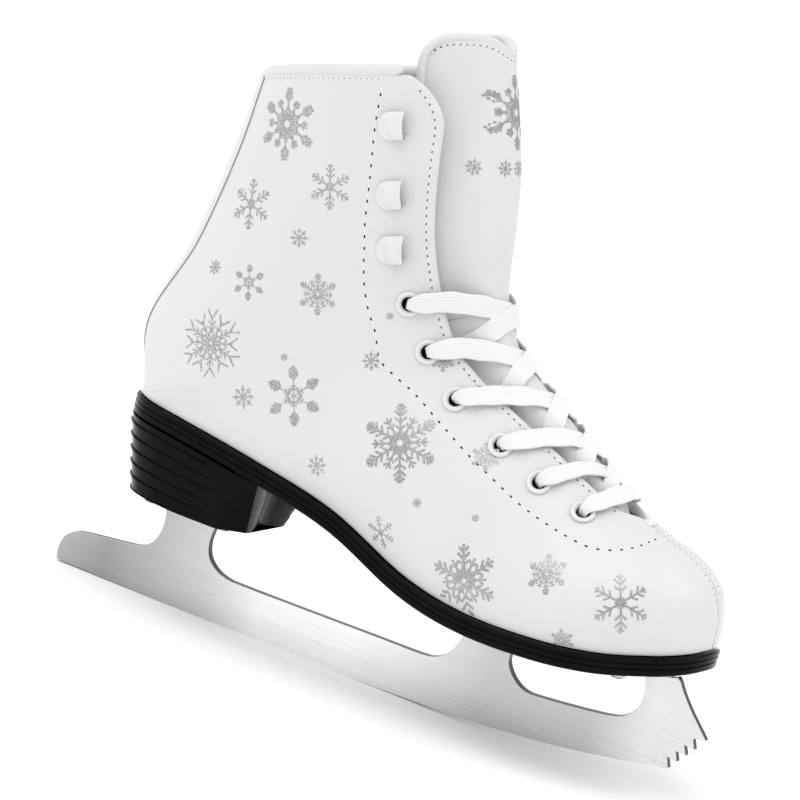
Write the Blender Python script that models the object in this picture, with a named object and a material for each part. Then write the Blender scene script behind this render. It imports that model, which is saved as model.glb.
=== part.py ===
"""Figure skate for the right foot: boot, moulded sole and heel, and screwed-on steel blade.

Frame: metres, +Z up, +X towards the toe, -Y on the outer side of the foot. The origin is on
the ice, under the flat stretch of the blade. Every size below is in millimetres, and
new_object() turns it into metres.

The boot is a loft. STATIONS lists its sections from above the collar, down the shaft, round
the heel and along the foot to the toe. Each section lies in a plane across the boot, from a
point on the back or the sole to a point on the instep's centre line. A place on the boot's
outer face is t, how far along the sections, v, from 0 at the back or sole to 1 at the instep,
and side, -1 on the outer side of the foot and 1 on the inner side. Depth is measured inwards
from that face.
"""
import math

import bmesh
import bpy
import numpy as np
from mathutils import Matrix, Vector

MM = 0.001
GAP = 0.3                     # clearance between neighbouring pieces
LAYER_GAP = 0.45              # and between neighbours that follow the same curve
SIDES = {"right": -1, "left": 1}

# ---------------------------------------------------------------- driving dimensions
BLADE_THICK = 3.8
BLADE_TAIL_X = -99.0
FLAT_HALF = 15.0              # half the flat stretch that stands on the ice
REAR_ROCKER = 4500.0          # radius of the edge behind the flat
FRONT_ROCKER = 2.9e-6         # ahead of it the edge rises by this times the distance cubed
FRONT_ROCKER_X = 10.0

SOLE_THICK = 8.0
WELT = 2.0                    # how far the sole stands out past the upper
HEEL_BASE_Z = 44.0
PLATE_THICK, PLATE_GAP = 2.0, 0.7
SCREW_HEAD_R, SCREW_HEAD_H = 3.6, 1.6
SCREW_R, SCREW_LENGTH = 1.8, 8.5
SCREW_HOLE_R, SCREW_HOLE_DEPTH = 2.2, 7.4
HEEL_SCREWS = ((-61.0, -9.5), (-61.0, 9.5), (-27.0, -9.5), (-27.0, 9.5))
SOLE_SCREWS = ((93.0, -12.0), (93.0, 12.0), (126.0, -13.0), (126.0, 13.0),
               (152.0, -9.5), (152.0, 9.5))

LEATHER = (0.0, 1.5)          # depths of the layers of the upper
STIFFENER = (2.0, 2.8)
LINING = (3.4, 4.4)
LINING_START_V = 0.05         # on the foot the lining starts this far above the insole
LINING_OPENS = (4.75, 5.0)    # the stretch of t over which its lower edge leaves the back
BACKSTAY = (-1.5, -0.5)
WING_DEPTH = 7.4              # the tongue's outer face under the facings
CREST_DEPTH = 1.1             # and along its middle
TOP_SINK, WING_SINK = 8.0, 4.8        # how much deeper both lie at the tongue's top
SINK_T, SINK_STRETCH = 3.2, 2.6       # where that starts, and the stretch it takes
TONGUE_THICK = 3.4
TONGUE_LINING_THICK = 1.0
FOREFOOT_BULGE = 3.0          # how far the forefoot leans to the outer side of the foot
BULGE_X = (95.0, 178.0)
SEAM_HALF = 0.4               # half the gap along the centre seams

EYELET_R, EYELET_HOLE_R, EYELET_H = 5.0, 2.7, 1.0
BARREL_R, PUNCH_R = 3.3, 3.7
LACE_WIDTH, LACE_THICK = 8.4, 1.2
LACE_UNDER = 5.8              # depth of the lace under the facings
LACE_DIVE_T = 0.3             # it goes under a facing this far along t past the eyelet
THROAT_LACE_WIDTH = 6.6       # it is squeezed narrower where the throat ends
BUNCHED_WIDTH, BUNCHED_THICK = 4.0, 1.7
AGLET_R, AGLET_LENGTH = 1.5, 16.0

# back x, back z, front x, front z, half-width at the sole, greatest half-width,
# where that comes (0 back to 1 front), half the gap between the facings
STATIONS = np.array([
    (-64.0, 242.0, 37.0, 276.0, 0.0, 36.5, 0.46, 28.0),
    (-66.5, 217.0, 46.0, 250.0, 0.0, 36.0, 0.46, 27.5),
    (-69.5, 187.0, 52.5, 221.0, 0.0, 34.0, 0.45, 26.0),
    (-76.0, 148.0, 55.5, 193.0, 0.0, 32.5, 0.41, 22.5),
    (-86.0, 111.0, 60.0, 169.0, 0.0, 32.5, 0.34, 18.5),
    (-79.5, 82.5, 67.5, 153.0, 0.0, 33.0, 0.26, 16.5),
    (-76.5, 82.3, 74.5, 145.5, 12.5, 33.0, 0.26, 16.2),
    (-66.5, 82.1, 81.0, 140.8, 22.5, 33.0, 0.27, 16.0),
    (-48.0, 81.0, 89.0, 136.0, 28.0, 33.0, 0.28, 15.8),
    (-14.0, 76.0, 100.0, 129.0, 28.5, 34.5, 0.27, 15.2),
    (24.0, 67.8, 112.0, 121.0, 26.5, 36.5, 0.24, 13.6),
    (62.0, 54.2, 124.0, 113.5, 29.5, 39.0, 0.22, 11.5),
    (95.0, 51.0, 137.0, 107.0, 38.0, 42.0, 0.22, 9.0),
    (125.0, 52.8, 150.0, 101.0, 41.0, 43.0, 0.25, SEAM_HALF),
    (150.0, 55.5, 162.0, 97.0, 37.0, 39.5, 0.28, SEAM_HALF),
    (168.0, 59.3, 171.0, 92.5, 28.0, 31.0, 0.30, SEAM_HALF),
    (178.5, 62.3, 177.5, 87.0, 16.5, 19.0, 0.30, SEAM_HALF),
    (183.0, 64.3, 182.5, 76.0, 0.0, 0.0, 0.30, SEAM_HALF),
])
BACK, WIDTHS = slice(0, 2), slice(4, 6)
T_COLLAR, T_HEEL, T_THROAT, T_TOE = 1.0, 5.0, 12.4, 17.0
THROAT_ROUND = 0.6            # the stretch over which the facings close at the throat
V_WIDEST = 0.45               # the place v of a section's widest point
CORNER_LENGTH, CORNER_DROP = 0.5, 0.14
HEEL_FAN = (4.75, 5.8)        # the sections that fan round the heel
FAN_TOP_V, FAN_FADE_V = 0.35, 0.2
WALL_STEEPNESS = 0.6          # how upright the foot's side walls start at the sole
WALL_STRETCH = 3.0            # reached this far along t from the heel

EYELETS = ((4.05, 23.7), (5.08, 21.3), (7.8, 22.6), (9.38, 24.0), (10.46, 24.3), (11.55, 22.4))
HOOKS = ((1.55, 33.1), (2.45, 30.2), (3.19, 27.5))

# the sections at which every layer of the upper and of the sole has its points
SHAFT_ROWS = (1.0, 1.15, 1.45, 2.0, 2.8, 3.6, 4.3, 4.75)
FOOT_ROWS = (5.0, 5.04, 5.15, 5.4, 5.8, 6.5, 7.2, 8.0, 8.8, 9.6, 10.4, 11.0, 11.5, 11.9, 12.2,
             12.4, 13.0, 13.7, 14.4, 15.1, 15.7, 16.2, 16.55, 16.8, 16.95)
COLUMNS = 10                  # and how many points each section has from back to front,
COLUMN_CROWDING = 0.85        # which stand closer together towards the front

TONGUE_END_T = 11.45
TONGUE_WING_V = 0.09          # how far the tongue reaches under each facing
TONGUE_AXIS_X, TONGUE_AXIS_Z = 44.0, 172.0


# ---------------------------------------------------------------- the boot's outer face
def station(t):
    """The section's numbers at t, on a smooth curve through STATIONS."""
    table = STATIONS.copy()
    table[:, WIDTHS] **= 2    # squared widths close to a round end, not to a point
    last = len(table) - 1
    i = int(min(max(math.floor(t), 0), last - 1))
    f = t - i
    start, end = table[i], table[i + 1]
    before = table[i - 1].copy() if i > 0 else 2 * start - end
    after = table[i + 2].copy() if i + 2 <= last else 2 * end - start
    if i == T_HEEL:           # the back turns into the sole at a corner
        before[BACK] = (2 * start - end)[BACK]
    if i + 1 == T_HEEL:
        after[BACK] = (2 * end - start)[BACK]
    row = ((2 * f ** 3 - 3 * f ** 2 + 1) * start
           + (f ** 3 - 2 * f ** 2 + f) * (end - before) / 2
           + (3 * f ** 2 - 2 * f ** 3) * end
           + (f ** 3 - f ** 2) * (after - start) / 2)
    row[WIDTHS] = np.sqrt(np.maximum(row[WIDTHS], 0.0))
    return row


def eased(f):
    """0 below 0, 1 above 1, and a smooth rise between."""
    f = min(max(f, 0.0), 1.0)
    return f * f * (3 - 2 * f)


def swing(x):
    """The boot's centre line at x: the forefoot leans outwards, between arch and toe tip."""
    f = min(max((x - BULGE_X[0]) / (BULGE_X[1] - BULGE_X[0]), 0.0), 1.0)
    return -FOREFOOT_BULGE * math.sin(math.pi * f) ** 2


def skin(t, v, side):
    """A point of the boot's outer face."""
    back_x, back_z, front_x, front_z, feather, widest, rise, _ = station(t)
    feather = min(feather, widest)
    if v < V_WIDEST:
        angle = v / V_WIDEST * math.pi / 2
        wall = WALL_STEEPNESS * min(max((t - T_HEEL) / WALL_STRETCH, 0.0), 1.0)
        s = rise * ((1 - wall) * (1 - math.cos(angle)) + wall * v / V_WIDEST)
        y = feather + (widest - feather) * math.sin(angle)
    else:
        angle = (v - V_WIDEST) / (1 - V_WIDEST) * math.pi / 2
        s = rise + (1 - rise) * math.sin(angle)
        y = widest * math.cos(angle)
    x = back_x + s * (front_x - back_x)
    return np.array((x, side * y + swing(x), back_z + s * (front_z - back_z)))


def tangents(t, v, side):
    """The outer face's directions along t and along v."""
    step = 0.004
    t = min(max(t, step), T_TOE - 0.05)
    v = min(max(v, step), 1 - step)
    along_t = skin(t + step, v, side) - skin(t - step, v, side)
    along_v = skin(t, v + step, side) - skin(t, v - step, side)
    return along_t / np.linalg.norm(along_t), along_v / np.linalg.norm(along_v)


def outward(t, v, side):
    """The outer face's normal, evened out where the sections fan round the heel."""
    along_t, along_v = tangents(t, v, side)
    normal = np.cross(along_v, along_t) * side
    first, last = HEEL_FAN
    if first < t < last and v < FAN_TOP_V:
        share = min((FAN_TOP_V - v) / FAN_FADE_V, 1.0)
        along = (t - first) / (last - first)
        even = (1 - along) * outward(first, v, side) + along * outward(last, v, side)
        normal = (1 - share) * normal / np.linalg.norm(normal) + share * even
    return normal / np.linalg.norm(normal)


def inset(t, v, side, depth, seam=SEAM_HALF):
    """A point at a depth under the outer face, kept on its own side of the centre seam."""
    point = skin(t, v, side) - depth * outward(t, v, side)
    middle = swing(point[0])
    if side * (point[1] - middle) < seam:
        point[1] = middle + side * seam
    return point


def v_at_y(t, y):
    """The place v on the front of section t that lies y from the centre line."""
    widest = max(station(t)[5], 1e-6)
    return V_WIDEST + (1 - V_WIDEST) * math.acos(min(y / widest, 1.0)) / (math.pi / 2)


def v_gap(t):
    """The front edge of the facings, which close to the toe's seam at the throat."""
    near = min(max((t - T_THROAT + THROAT_ROUND) / THROAT_ROUND, 0.0), 1.0)
    half = station(t)[7] * math.sqrt(1 - near ** 2)
    return v_at_y(t, max(half, SEAM_HALF))


def v_facing(t):
    """The same edge with its corner at the collar rounded off."""
    along = min((t - T_COLLAR) / CORNER_LENGTH, 1.0)
    return v_gap(t) - CORNER_DROP * (1 - math.sqrt(max(1 - (1 - along) ** 2, 0.0)))


def column_place(t, k):
    """The place v of column k of the upper's layers."""
    return v_facing(t) * (k / (COLUMNS - 1)) ** COLUMN_CROWDING


def sole_rim(t, side, out):
    """x and y on the sole's rim, a distance out from the line where the upper meets it."""
    def feather(at):
        row = station(at)
        return np.array((row[0], side * row[4]))
    step = 0.004
    along = feather(min(t + step, T_TOE)) - feather(max(t - step, T_HEEL))
    along /= np.linalg.norm(along)
    x, y = feather(t) + out * side * np.array((-along[1], along[0]))
    return x, y + swing(x)


SOLE_LINE = np.array([station(t)[BACK] for t in FOOT_ROWS + (T_TOE,)])


def sole_top(x):
    """Height at x of the sole's upper face, just under the upper."""
    return float(np.interp(x, SOLE_LINE[:, 0], SOLE_LINE[:, 1])) - LAYER_GAP


def blade_edge(x):
    """Height of the blade's running edge at x."""
    if x < -FLAT_HALF:
        return (x + FLAT_HALF) ** 2 / (2 * REAR_ROCKER)
    if x <= FLAT_HALF:
        return 0.0
    return FRONT_ROCKER * (x - FRONT_ROCKER_X) ** 3


# ---------------------------------------------------------------- making objects
def material(name, color, roughness, metallic=0.0):
    mat = bpy.data.materials.new(name)
    mat.use_nodes = True
    shader = mat.node_tree.nodes["Principled BSDF"]
    shader.inputs["Base Color"].default_value = (*color, 1.0)
    shader.inputs["Roughness"].default_value = roughness
    shader.inputs["Metallic"].default_value = metallic
    return mat


def new_object(name, points, faces, mat, sharp=35.0):
    """A closed solid from points in millimetres."""
    bm = bmesh.new()
    verts = [bm.verts.new(Vector([float(c) for c in p]) * MM) for p in points]
    for face in faces:
        bm.faces.new([verts[i] for i in face])
    bmesh.ops.remove_doubles(bm, verts=bm.verts, dist=0.02 * MM)
    bmesh.ops.recalc_face_normals(bm, faces=bm.faces)
    if bm.calc_volume(signed=True) < 0:
        bmesh.ops.reverse_faces(bm, faces=bm.faces)
    mesh = bpy.data.meshes.new(name)
    bm.to_mesh(mesh)
    bm.free()
    mesh.materials.append(mat)
    mesh.shade_smooth()
    mesh.set_sharp_from_angle(angle=math.radians(sharp))
    obj = bpy.data.objects.new(name, mesh)
    bpy.context.collection.objects.link(obj)
    return obj


def grid_faces(rows, columns, start=0, flip=False):
    faces = []
    for i in range(rows - 1):
        for j in range(columns - 1):
            a = start + i * columns + j
            b = a + columns
            for face in ((a, a + 1, b + 1), (a, b + 1, b)):
                faces.append(face[::-1] if flip else face)
    return faces


def sheet(name, outer, inner, mat):
    """A closed sheet between two grids of points."""
    rows, columns = len(outer), len(outer[0])
    points = [p for row in outer for p in row] + [p for row in inner for p in row]
    shift = rows * columns
    rim = [j for j in range(columns)]
    rim += [i * columns + columns - 1 for i in range(1, rows)]
    rim += [(rows - 1) * columns + j for j in range(columns - 2, -1, -1)]
    rim += [i * columns for i in range(rows - 2, 0, -1)]
    faces = grid_faces(rows, columns) + grid_faces(rows, columns, shift, flip=True)
    for a, b in zip(rim, rim[1:] + rim[:1]):
        faces.append((a, b, b + shift, a + shift))
    return new_object(name, points, faces, mat)


def rows_between(first, last):
    rows = SHAFT_ROWS + FOOT_ROWS[:1] + FOOT_ROWS[4:]     # without those for the sole's end
    return [t for t in rows if first <= t <= last]


def upper_layer(name, side, depths, rows, first_column, mat, lowest=lambda t: 0.0):
    """A sheet of one side of the upper between two depths, up to the facing's front edge.

    lowest(t) is the place v where it starts, if that is above its first column.
    """
    grids = []
    for depth in depths:
        grid = []
        for t in rows:
            vs = [column_place(t, k) for k in range(first_column, COLUMNS)]
            vs[0] = max(vs[0], lowest(t))
            grid.append([inset(t, v, side, depth) for v in vs])
        grids.append(grid)
    return sheet(name, grids[0], grids[1], mat)


def wrap_layer(name, depths, rows, columns, mat):
    """A sheet that runs over the columns on the right, then back over them on the left."""
    grids = []
    for depth in depths:
        grid = []
        for t in rows:
            vs = [column_place(t, k) for k in columns]
            grid.append([inset(t, v, -1, depth) for v in vs]
                        + [inset(t, v, 1, depth) for v in reversed(vs)])
        grids.append(grid)
    return sheet(name, grids[0], grids[1], mat)


def across_layer(name, place, depth_at, thick, rows, columns, mat):
    """A sheet that runs from the right side to the left through the centre line.

    place(row, column) gives t and v, with columns counted from -1 on the right to 1.
    """
    outer, inner = [], []
    for row in rows:
        line_out, line_in = [], []
        for column in np.linspace(-1, 1, columns):
            side = 1 if column > 0 else -1
            t, v = place(row, abs(column))
            depth = depth_at(t, v)
            line_out.append(inset(t, v, side, depth, seam=0.0))
            line_in.append(inset(t, v, side, depth + thick, seam=0.0))
        outer.append(line_out)
        inner.append(line_in)
    return sheet(name, outer, inner, mat)


def loft(name, rings, mat, sharp=35.0):
    """A closed solid through rings of the same number of points."""
    count = len(rings[0])
    points = [p for ring in rings for p in ring]
    faces = [tuple(range(count))[::-1]]
    for i in range(len(rings) - 1):
        for j in range(count):
            k = (j + 1) % count
            a, b = i * count, (i + 1) * count
            faces.append((a + j, a + k, b + k, b + j))
    faces.append(tuple(range(len(points) - count, len(points))))
    return new_object(name, points, faces, mat, sharp)


def prism(name, outline, half_y, mat):
    """A flat plate in the XZ plane, from its outline."""
    return loft(name, [[(x, y, z) for x, z in outline] for y in (-half_y, half_y)], mat)


def turned(name, origin, axis, profile, segments, mat):
    """A turned piece: profile points are radius and height along the axis, as a closed loop."""
    axis = np.array(axis, float) / np.linalg.norm(axis)
    helper = np.array((1.0, 0.0, 0.0)) if abs(axis[0]) < 0.7 else np.array((0.0, 1.0, 0.0))
    across = np.cross(axis, helper)
    across /= np.linalg.norm(across)
    other = np.cross(axis, across)
    points, faces = [], []
    for i in range(segments):
        angle = 2 * math.pi * i / segments
        spoke = across * math.cos(angle) + other * math.sin(angle)
        points += [origin + spoke * r + axis * h for r, h in profile]
    count = len(profile)
    for i in range(segments):
        for j in range(count):
            a, b = i * count, ((i + 1) % segments) * count
            k = (j + 1) % count
            if profile[j][0] > 0 or profile[k][0] > 0:
                faces.append((a + j, a + k, b + k, b + j))
    faces = [tuple(dict.fromkeys(face)) for face in faces]    # those on the axis lose a corner
    return new_object(name, points, faces, mat)


def ribbon(name, stops, mat):
    """A flat band: each stop is a point, the direction across the band, width and thickness."""
    rings = []
    for i, (point, across, width, thick) in enumerate(stops):
        ahead = stops[min(i + 1, len(stops) - 1)][0] - stops[max(i - 1, 0)][0]
        ahead = ahead / np.linalg.norm(ahead)
        wide = across - ahead * np.dot(across, ahead)
        wide /= np.linalg.norm(wide)
        face = np.cross(ahead, wide)
        rings.append([point + wide * width / 2 * a + face * thick / 2 * b
                      for a, b in ((-1, -1), (1, -1), (1, 1), (-1, 1))])
    return loft(name, rings, mat)


def tube(name, path, radius, sides, mat):
    """A padded roll along a path of points and two directions square to it."""
    rings = []
    for point, first, second in path:
        angles = [2 * math.pi * i / sides for i in range(sides)]
        rings.append([point + first * radius * math.cos(a) + second * radius * math.sin(a)
                      for a in angles])
    return loft(name, rings, mat, sharp=80.0)


def cut(target, origin, axis, radius, low, high):
    """Drills a round hole through target, from height low to high along the axis."""
    axis = np.array(axis, float) / np.linalg.norm(axis)
    profile = ((0.0, low), (radius, low), (radius, high), (0.0, high))
    cutter = turned(target.name + "_hole", origin, axis, profile, 10, target.active_material)
    cutter.hide_render = True
    cutter.display_type = "WIRE"
    hole = target.modifiers.new("hole", "BOOLEAN")
    hole.operation = "DIFFERENCE"
    hole.solver = "EXACT"
    hole.object = cutter


# ---------------------------------------------------------------- blade and plates
def rising_line(first, last, count):
    """Points on the running edge from first to last."""
    return [(x, blade_edge(x)) for x in np.linspace(first, last, count)]


def plate_under(x):
    """Height of the blade's top under the sole plate at x."""
    return sole_top(x) - SOLE_THICK - PLATE_GAP - PLATE_THICK - 2 * GAP


def make_blade(mat):
    heel_top = HEEL_BASE_Z - PLATE_THICK - 2 * GAP
    outline = rising_line(BLADE_TAIL_X, -FLAT_HALF, 6) + rising_line(FLAT_HALF, 174.0, 14)
    drag_picks = [(180.3, 13.8), (178.6, 17.7), (183.0, 17.5), (181.4, 21.3), (185.8, 21.1),
                  (183.9, 24.8), (188.4, 24.5), (186.6, 28.3), (191.9, 29.4)]
    toe_front = [(187.4, 34.0), (182.7, 38.6), (178.0, 44.0), (174.3, 49.0)]
    toe_stem = [(172.5, plate_under(172.5)), (160.5, plate_under(160.5)), (162.2, 40.0),
                (162.0, 33.8), (160.0, 29.8), (156.4, 26.9), (151.6, 25.3)]
    front_gap = [(122.8, 21.8), (114.8, 21.7), (108.9, 24.7), (104.9, 29.7), (104.4, 34.5)]
    middle_stem = [(105.0, plate_under(105.0)), (94.0, plate_under(94.0)),
                   (84.5, plate_under(84.5)), (83.2, 35.0), (82.0, 30.4), (79.4, 25.0),
                   (74.3, 21.4), (67.5, 20.2)]
    rear_gap = [(49.0, 19.9), (-14.0, 19.1), (-21.5, 19.3), (-27.5, 21.0), (-32.4, 25.0),
                (-34.3, 30.5), (-33.8, 37.0)]
    heel_stem = [(-32.5, heel_top), (-58.5, heel_top), (-57.0, 37.0), (-56.2, 31.0),
                 (-57.4, 25.2), (-60.2, 21.2), (-64.5, 19.0), (-70.0, 18.0)]
    tail = [(-91.5, 15.2), (-95.5, 13.6), (-98.4, 10.6), (-99.7, 5.8)]
    outline += drag_picks + toe_front + toe_stem + front_gap + middle_stem
    outline += rear_gap + heel_stem + tail
    return prism("blade", outline[::-1], BLADE_THICK / 2, mat)


def rounded_plan(x_back, x_front, half, corner):
    """A rectangle with cut corners, seen from above."""
    return [(x_back + corner, -half), (x_front - corner, -half), (x_front, -half + corner),
            (x_front, half - corner), (x_front - corner, half), (x_back + corner, half),
            (x_back, half - corner), (x_back, -half + corner)]


def make_heel_plate(mat):
    plan = rounded_plan(-68.0, -20.0, 14.5, 4.0)
    top = HEEL_BASE_Z - GAP
    plate = loft("heel_plate", [[(x, y, z) for x, y in plan] for z in (top - PLATE_THICK, top)],
                 mat)
    for x, y in HEEL_SCREWS:
        cut(plate, np.array((x, y, top)), (0, 0, 1), SCREW_HOLE_R, -PLATE_THICK - 1, 1)


def make_sole_plate(mat):
    rings = []
    for x, half in ((80.0, 9.0), (86.0, 16.0), (96.0, 18.0), (108.0, 18.0), (120.0, 18.0),
                    (134.0, 17.0), (148.0, 15.0), (160.0, 12.5), (168.0, 9.5), (172.0, 6.0)):
        top = sole_top(x) - SOLE_THICK - PLATE_GAP
        low = top - PLATE_THICK
        rings.append([(x, -half, low), (x, half, low), (x, half, top), (x, -half, top)])
    plate = loft("sole_plate", rings, mat)
    for x, y in SOLE_SCREWS:
        cut(plate, np.array((x, y, sole_top(x) - SOLE_THICK)), (0, 0, 1), SCREW_HOLE_R, -5, 2)


def make_screw(name, x, y, plate_low, mat):
    head_low = plate_low - GAP - SCREW_HEAD_H
    profile = ((0.0, 0.0), (SCREW_HEAD_R * 0.7, 0.0), (SCREW_HEAD_R, SCREW_HEAD_H * 0.6),
               (SCREW_HEAD_R, SCREW_HEAD_H), (SCREW_R, SCREW_HEAD_H),
               (SCREW_R, SCREW_LENGTH), (0.0, SCREW_LENGTH + 1.2))
    turned(name, np.array((x, y, head_low)), (0, 0, 1), profile, 10, mat)


def make_screws(mat):
    for i, (x, y) in enumerate(HEEL_SCREWS):
        make_screw(f"heel_screw_{i + 1}", x, y, HEEL_BASE_Z - GAP - PLATE_THICK, mat)
    for i, (x, y) in enumerate(SOLE_SCREWS):
        slope_drop = 0.35     # the sole plate slopes under the flat screw head
        low = plate_under(x) + GAP - slope_drop
        make_screw(f"sole_screw_{i + 1}", x, y, low, mat)


# ---------------------------------------------------------------- sole and heel
def slab_rings(ts, out, low, high):
    """Cross-sections of a layer of the sole, low and high counted from the sole's top."""
    rings = []
    for t in ts:
        right, left = sole_rim(t, -1, out), sole_rim(t, 1, out)
        level = float(station(t)[1]) - LAYER_GAP
        rings.append([(*right, level + low), (*left, level + low),
                      (*left, level + high), (*right, level + high)])
    return rings


def make_outsole(mat):
    sole = loft("outsole", slab_rings(FOOT_ROWS + (T_TOE,), WELT, -SOLE_THICK, 0.0), mat)
    for x, y in SOLE_SCREWS:
        base = sole_top(x) - SOLE_THICK
        cut(sole, np.array((x, y, base)), (0, 0, 1), SCREW_HOLE_R, -3, SCREW_HOLE_DEPTH - 0.6)


def heel_halves():
    """Matching points of the heel's outline at its base and under the sole."""
    base, top = [], []
    for t in (5.0, 5.4, 5.9, 6.5, 7.1, 7.7):
        x, y = sole_rim(t, 1, WELT - GAP)
        top.append((x, y))
        base.append((-43.5 + (x + 47.0) * 0.86, y * 0.95))
    base += [(-44.0, 28.6), (-33.0, 29.2), (-21.6, 29.6), (-12.4, 17.4)]
    top += [(-44.0, 30.0), (-31.0, 30.3), (-19.0, 30.2), (-9.0, 28.6)]
    return base, top, (-15.4, 0.0), (-14.0, 0.0)


def heel_top(x):
    return sole_top(x) - SOLE_THICK - LAYER_GAP


def heel_bottom(x):
    return HEEL_BASE_Z


def make_heel_block(mat):
    base, top, base_breast, top_breast = heel_halves()
    points, faces = [], []
    levels = []
    for outline, breast, under_sole in ((base, base_breast, False), (top, top_breast, True)):
        level = []
        level_at = heel_top if under_sole else heel_bottom
        for sign in (1, -1):
            for x, y in outline:
                level.append(len(points))
                points.append((x, sign * y, level_at(x)))
        x, y = breast
        level.append(len(points))
        points.append((x, y, level_at(x)))
        levels.append(level)
    count = len(base)
    for level in levels:
        left, right, breast = level[:count], level[count:2 * count], level[-1]
        for i in range(count - 2):
            faces.append((left[i], left[i + 1], right[i + 1], right[i]))
        faces.append((breast, left[-1], left[-2]))
        faces.append((breast, left[-2], right[-2]))
        faces.append((breast, right[-2], right[-1]))
    loop = list(range(count)) + [2 * count] + list(range(2 * count - 1, count - 1, -1))
    for a, b in zip(loop, loop[1:] + loop[:1]):
        faces.append((levels[0][a], levels[0][b], levels[1][b], levels[1][a]))
    heel = new_object("heel_block", points, faces, mat)
    for x, y in HEEL_SCREWS:
        cut(heel, np.array((x, y, HEEL_BASE_Z)), (0, 0, 1), SCREW_HOLE_R, -1, SCREW_HOLE_DEPTH)


def make_inner_sole(board_mat, foam_mat, steel):
    rows = rows_between(5.4, 16.2)
    loft("insole_board", slab_rings(rows, -5.2, 2.0, 4.0), board_mat)
    loft("footbed", slab_rings(rows, -5.6, 4.5, 7.5), foam_mat)
    rings = []
    rows = rows_between(7.2, 11.5)
    for t in rows:
        half = 4.5 if t in (rows[0], rows[-1]) else 6.5
        x, z = station(t)[BACK]
        rings.append([(x, -half, z), (x, half, z), (x, half, z + 1.0), (x, -half, z + 1.0)])
    loft("shank", rings, steel)


# ---------------------------------------------------------------- the upper
def lining_start(t):
    """The lining starts above the insole, and closes round the back above the heel."""
    first, last = LINING_OPENS
    return LINING_START_V * min(max((t - first) / (last - first), 0.0), 1.0)


def eyelet_seat(t, y, side):
    """Where an eyelet sits: its centre and the direction it faces."""
    v = v_at_y(t, y)
    return skin(t, v, side), outward(t, v, side)


def punch(obj, side):
    for t, y in EYELETS:
        centre, facing = eyelet_seat(t, y, side)
        cut(obj, centre, facing, PUNCH_R, -LINING[1] - 1.0, 1.5)


def make_upper(leather, stiffener, fleece):
    rows = rows_between(T_COLLAR, T_TOE)
    for word, side in SIDES.items():
        quarter = upper_layer(f"quarter_{word}", side, LEATHER, rows, 0, leather)
        stay = upper_layer(f"eyestay_{word}", side, STIFFENER, rows_between(T_COLLAR, 11.9),
                           COLUMNS - 3, stiffener)
        lining = upper_layer(f"lining_{word}", side, LINING, rows_between(T_COLLAR, 16.2), 0,
                             fleece, lining_start)
        for piece in (quarter, stay, lining):
            punch(piece, side)
    wrap_layer("heel_counter", STIFFENER, rows_between(2.8, 4.75), range(4, -1, -1), stiffener)
    wrap_layer("toe_puff", STIFFENER, rows_between(14.4, 16.2), range(3, COLUMNS), stiffener)
    across_layer("backstay", lambda t, column: (t, 0.034 * column), lambda t, v: BACKSTAY[0],
                 BACKSTAY[1] - BACKSTAY[0], SHAFT_ROWS + (4.95,), 3, leather)


def make_collar(mat):
    radius, places = 2.7, 25
    path = []
    middle = (LEATHER[0] + LINING[1]) / 2
    for column in np.linspace(-1, 1, places):
        side = 1 if column > 0 else -1
        v = abs(column) * 0.55
        along_t, _ = tangents(T_COLLAR, v, side)
        facing = outward(T_COLLAR, v, side)
        point = inset(T_COLLAR, v, side, middle, seam=0.0)
        path.append((point - along_t * (radius + GAP), facing, -along_t))
    tube("collar_binding", path, radius, 7, mat)


# ---------------------------------------------------------------- tongue
def tongue_depth(t, v):
    """Depth of the tongue's outer face: it rises from under the facings to a rounded crest."""
    edge = v_gap(t)
    sink = eased((SINK_T - t) / SINK_STRETCH)
    wing, crest = WING_DEPTH + WING_SINK * sink, CREST_DEPTH + TOP_SINK * sink
    return wing + (crest - wing) * eased(((v - edge) / (1 - edge) - 0.05) / 0.75)


def tongue_wing(t):
    return v_gap(t) - TONGUE_WING_V


TONGUE_ROWS = np.linspace(0, 1, 8)


def tongue_top(column):
    """The tongue's top edge, lowest at the corners and a little lower along the middle."""
    shoulder = max((column - 0.72) / 0.28, 0.0)
    crest = math.cos(min(column / 0.6, 1.0) * math.pi / 2) ** 2
    return 0.36 + 0.22 * crest + 0.4 * (1 - math.sqrt(1 - shoulder ** 2))


def upper_place(row, column):
    bottom = 3.45 - 0.5 * column ** 2
    t = tongue_top(column) + (bottom - tongue_top(column)) * row
    return t, 1 - column * (1 - tongue_wing(t))


def lower_place(row, column):
    top = 3.66 + 0.12 * column ** 2
    t = top + (TONGUE_END_T - top) * row
    return t, 1 - column * (1 - tongue_wing(t))


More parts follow.
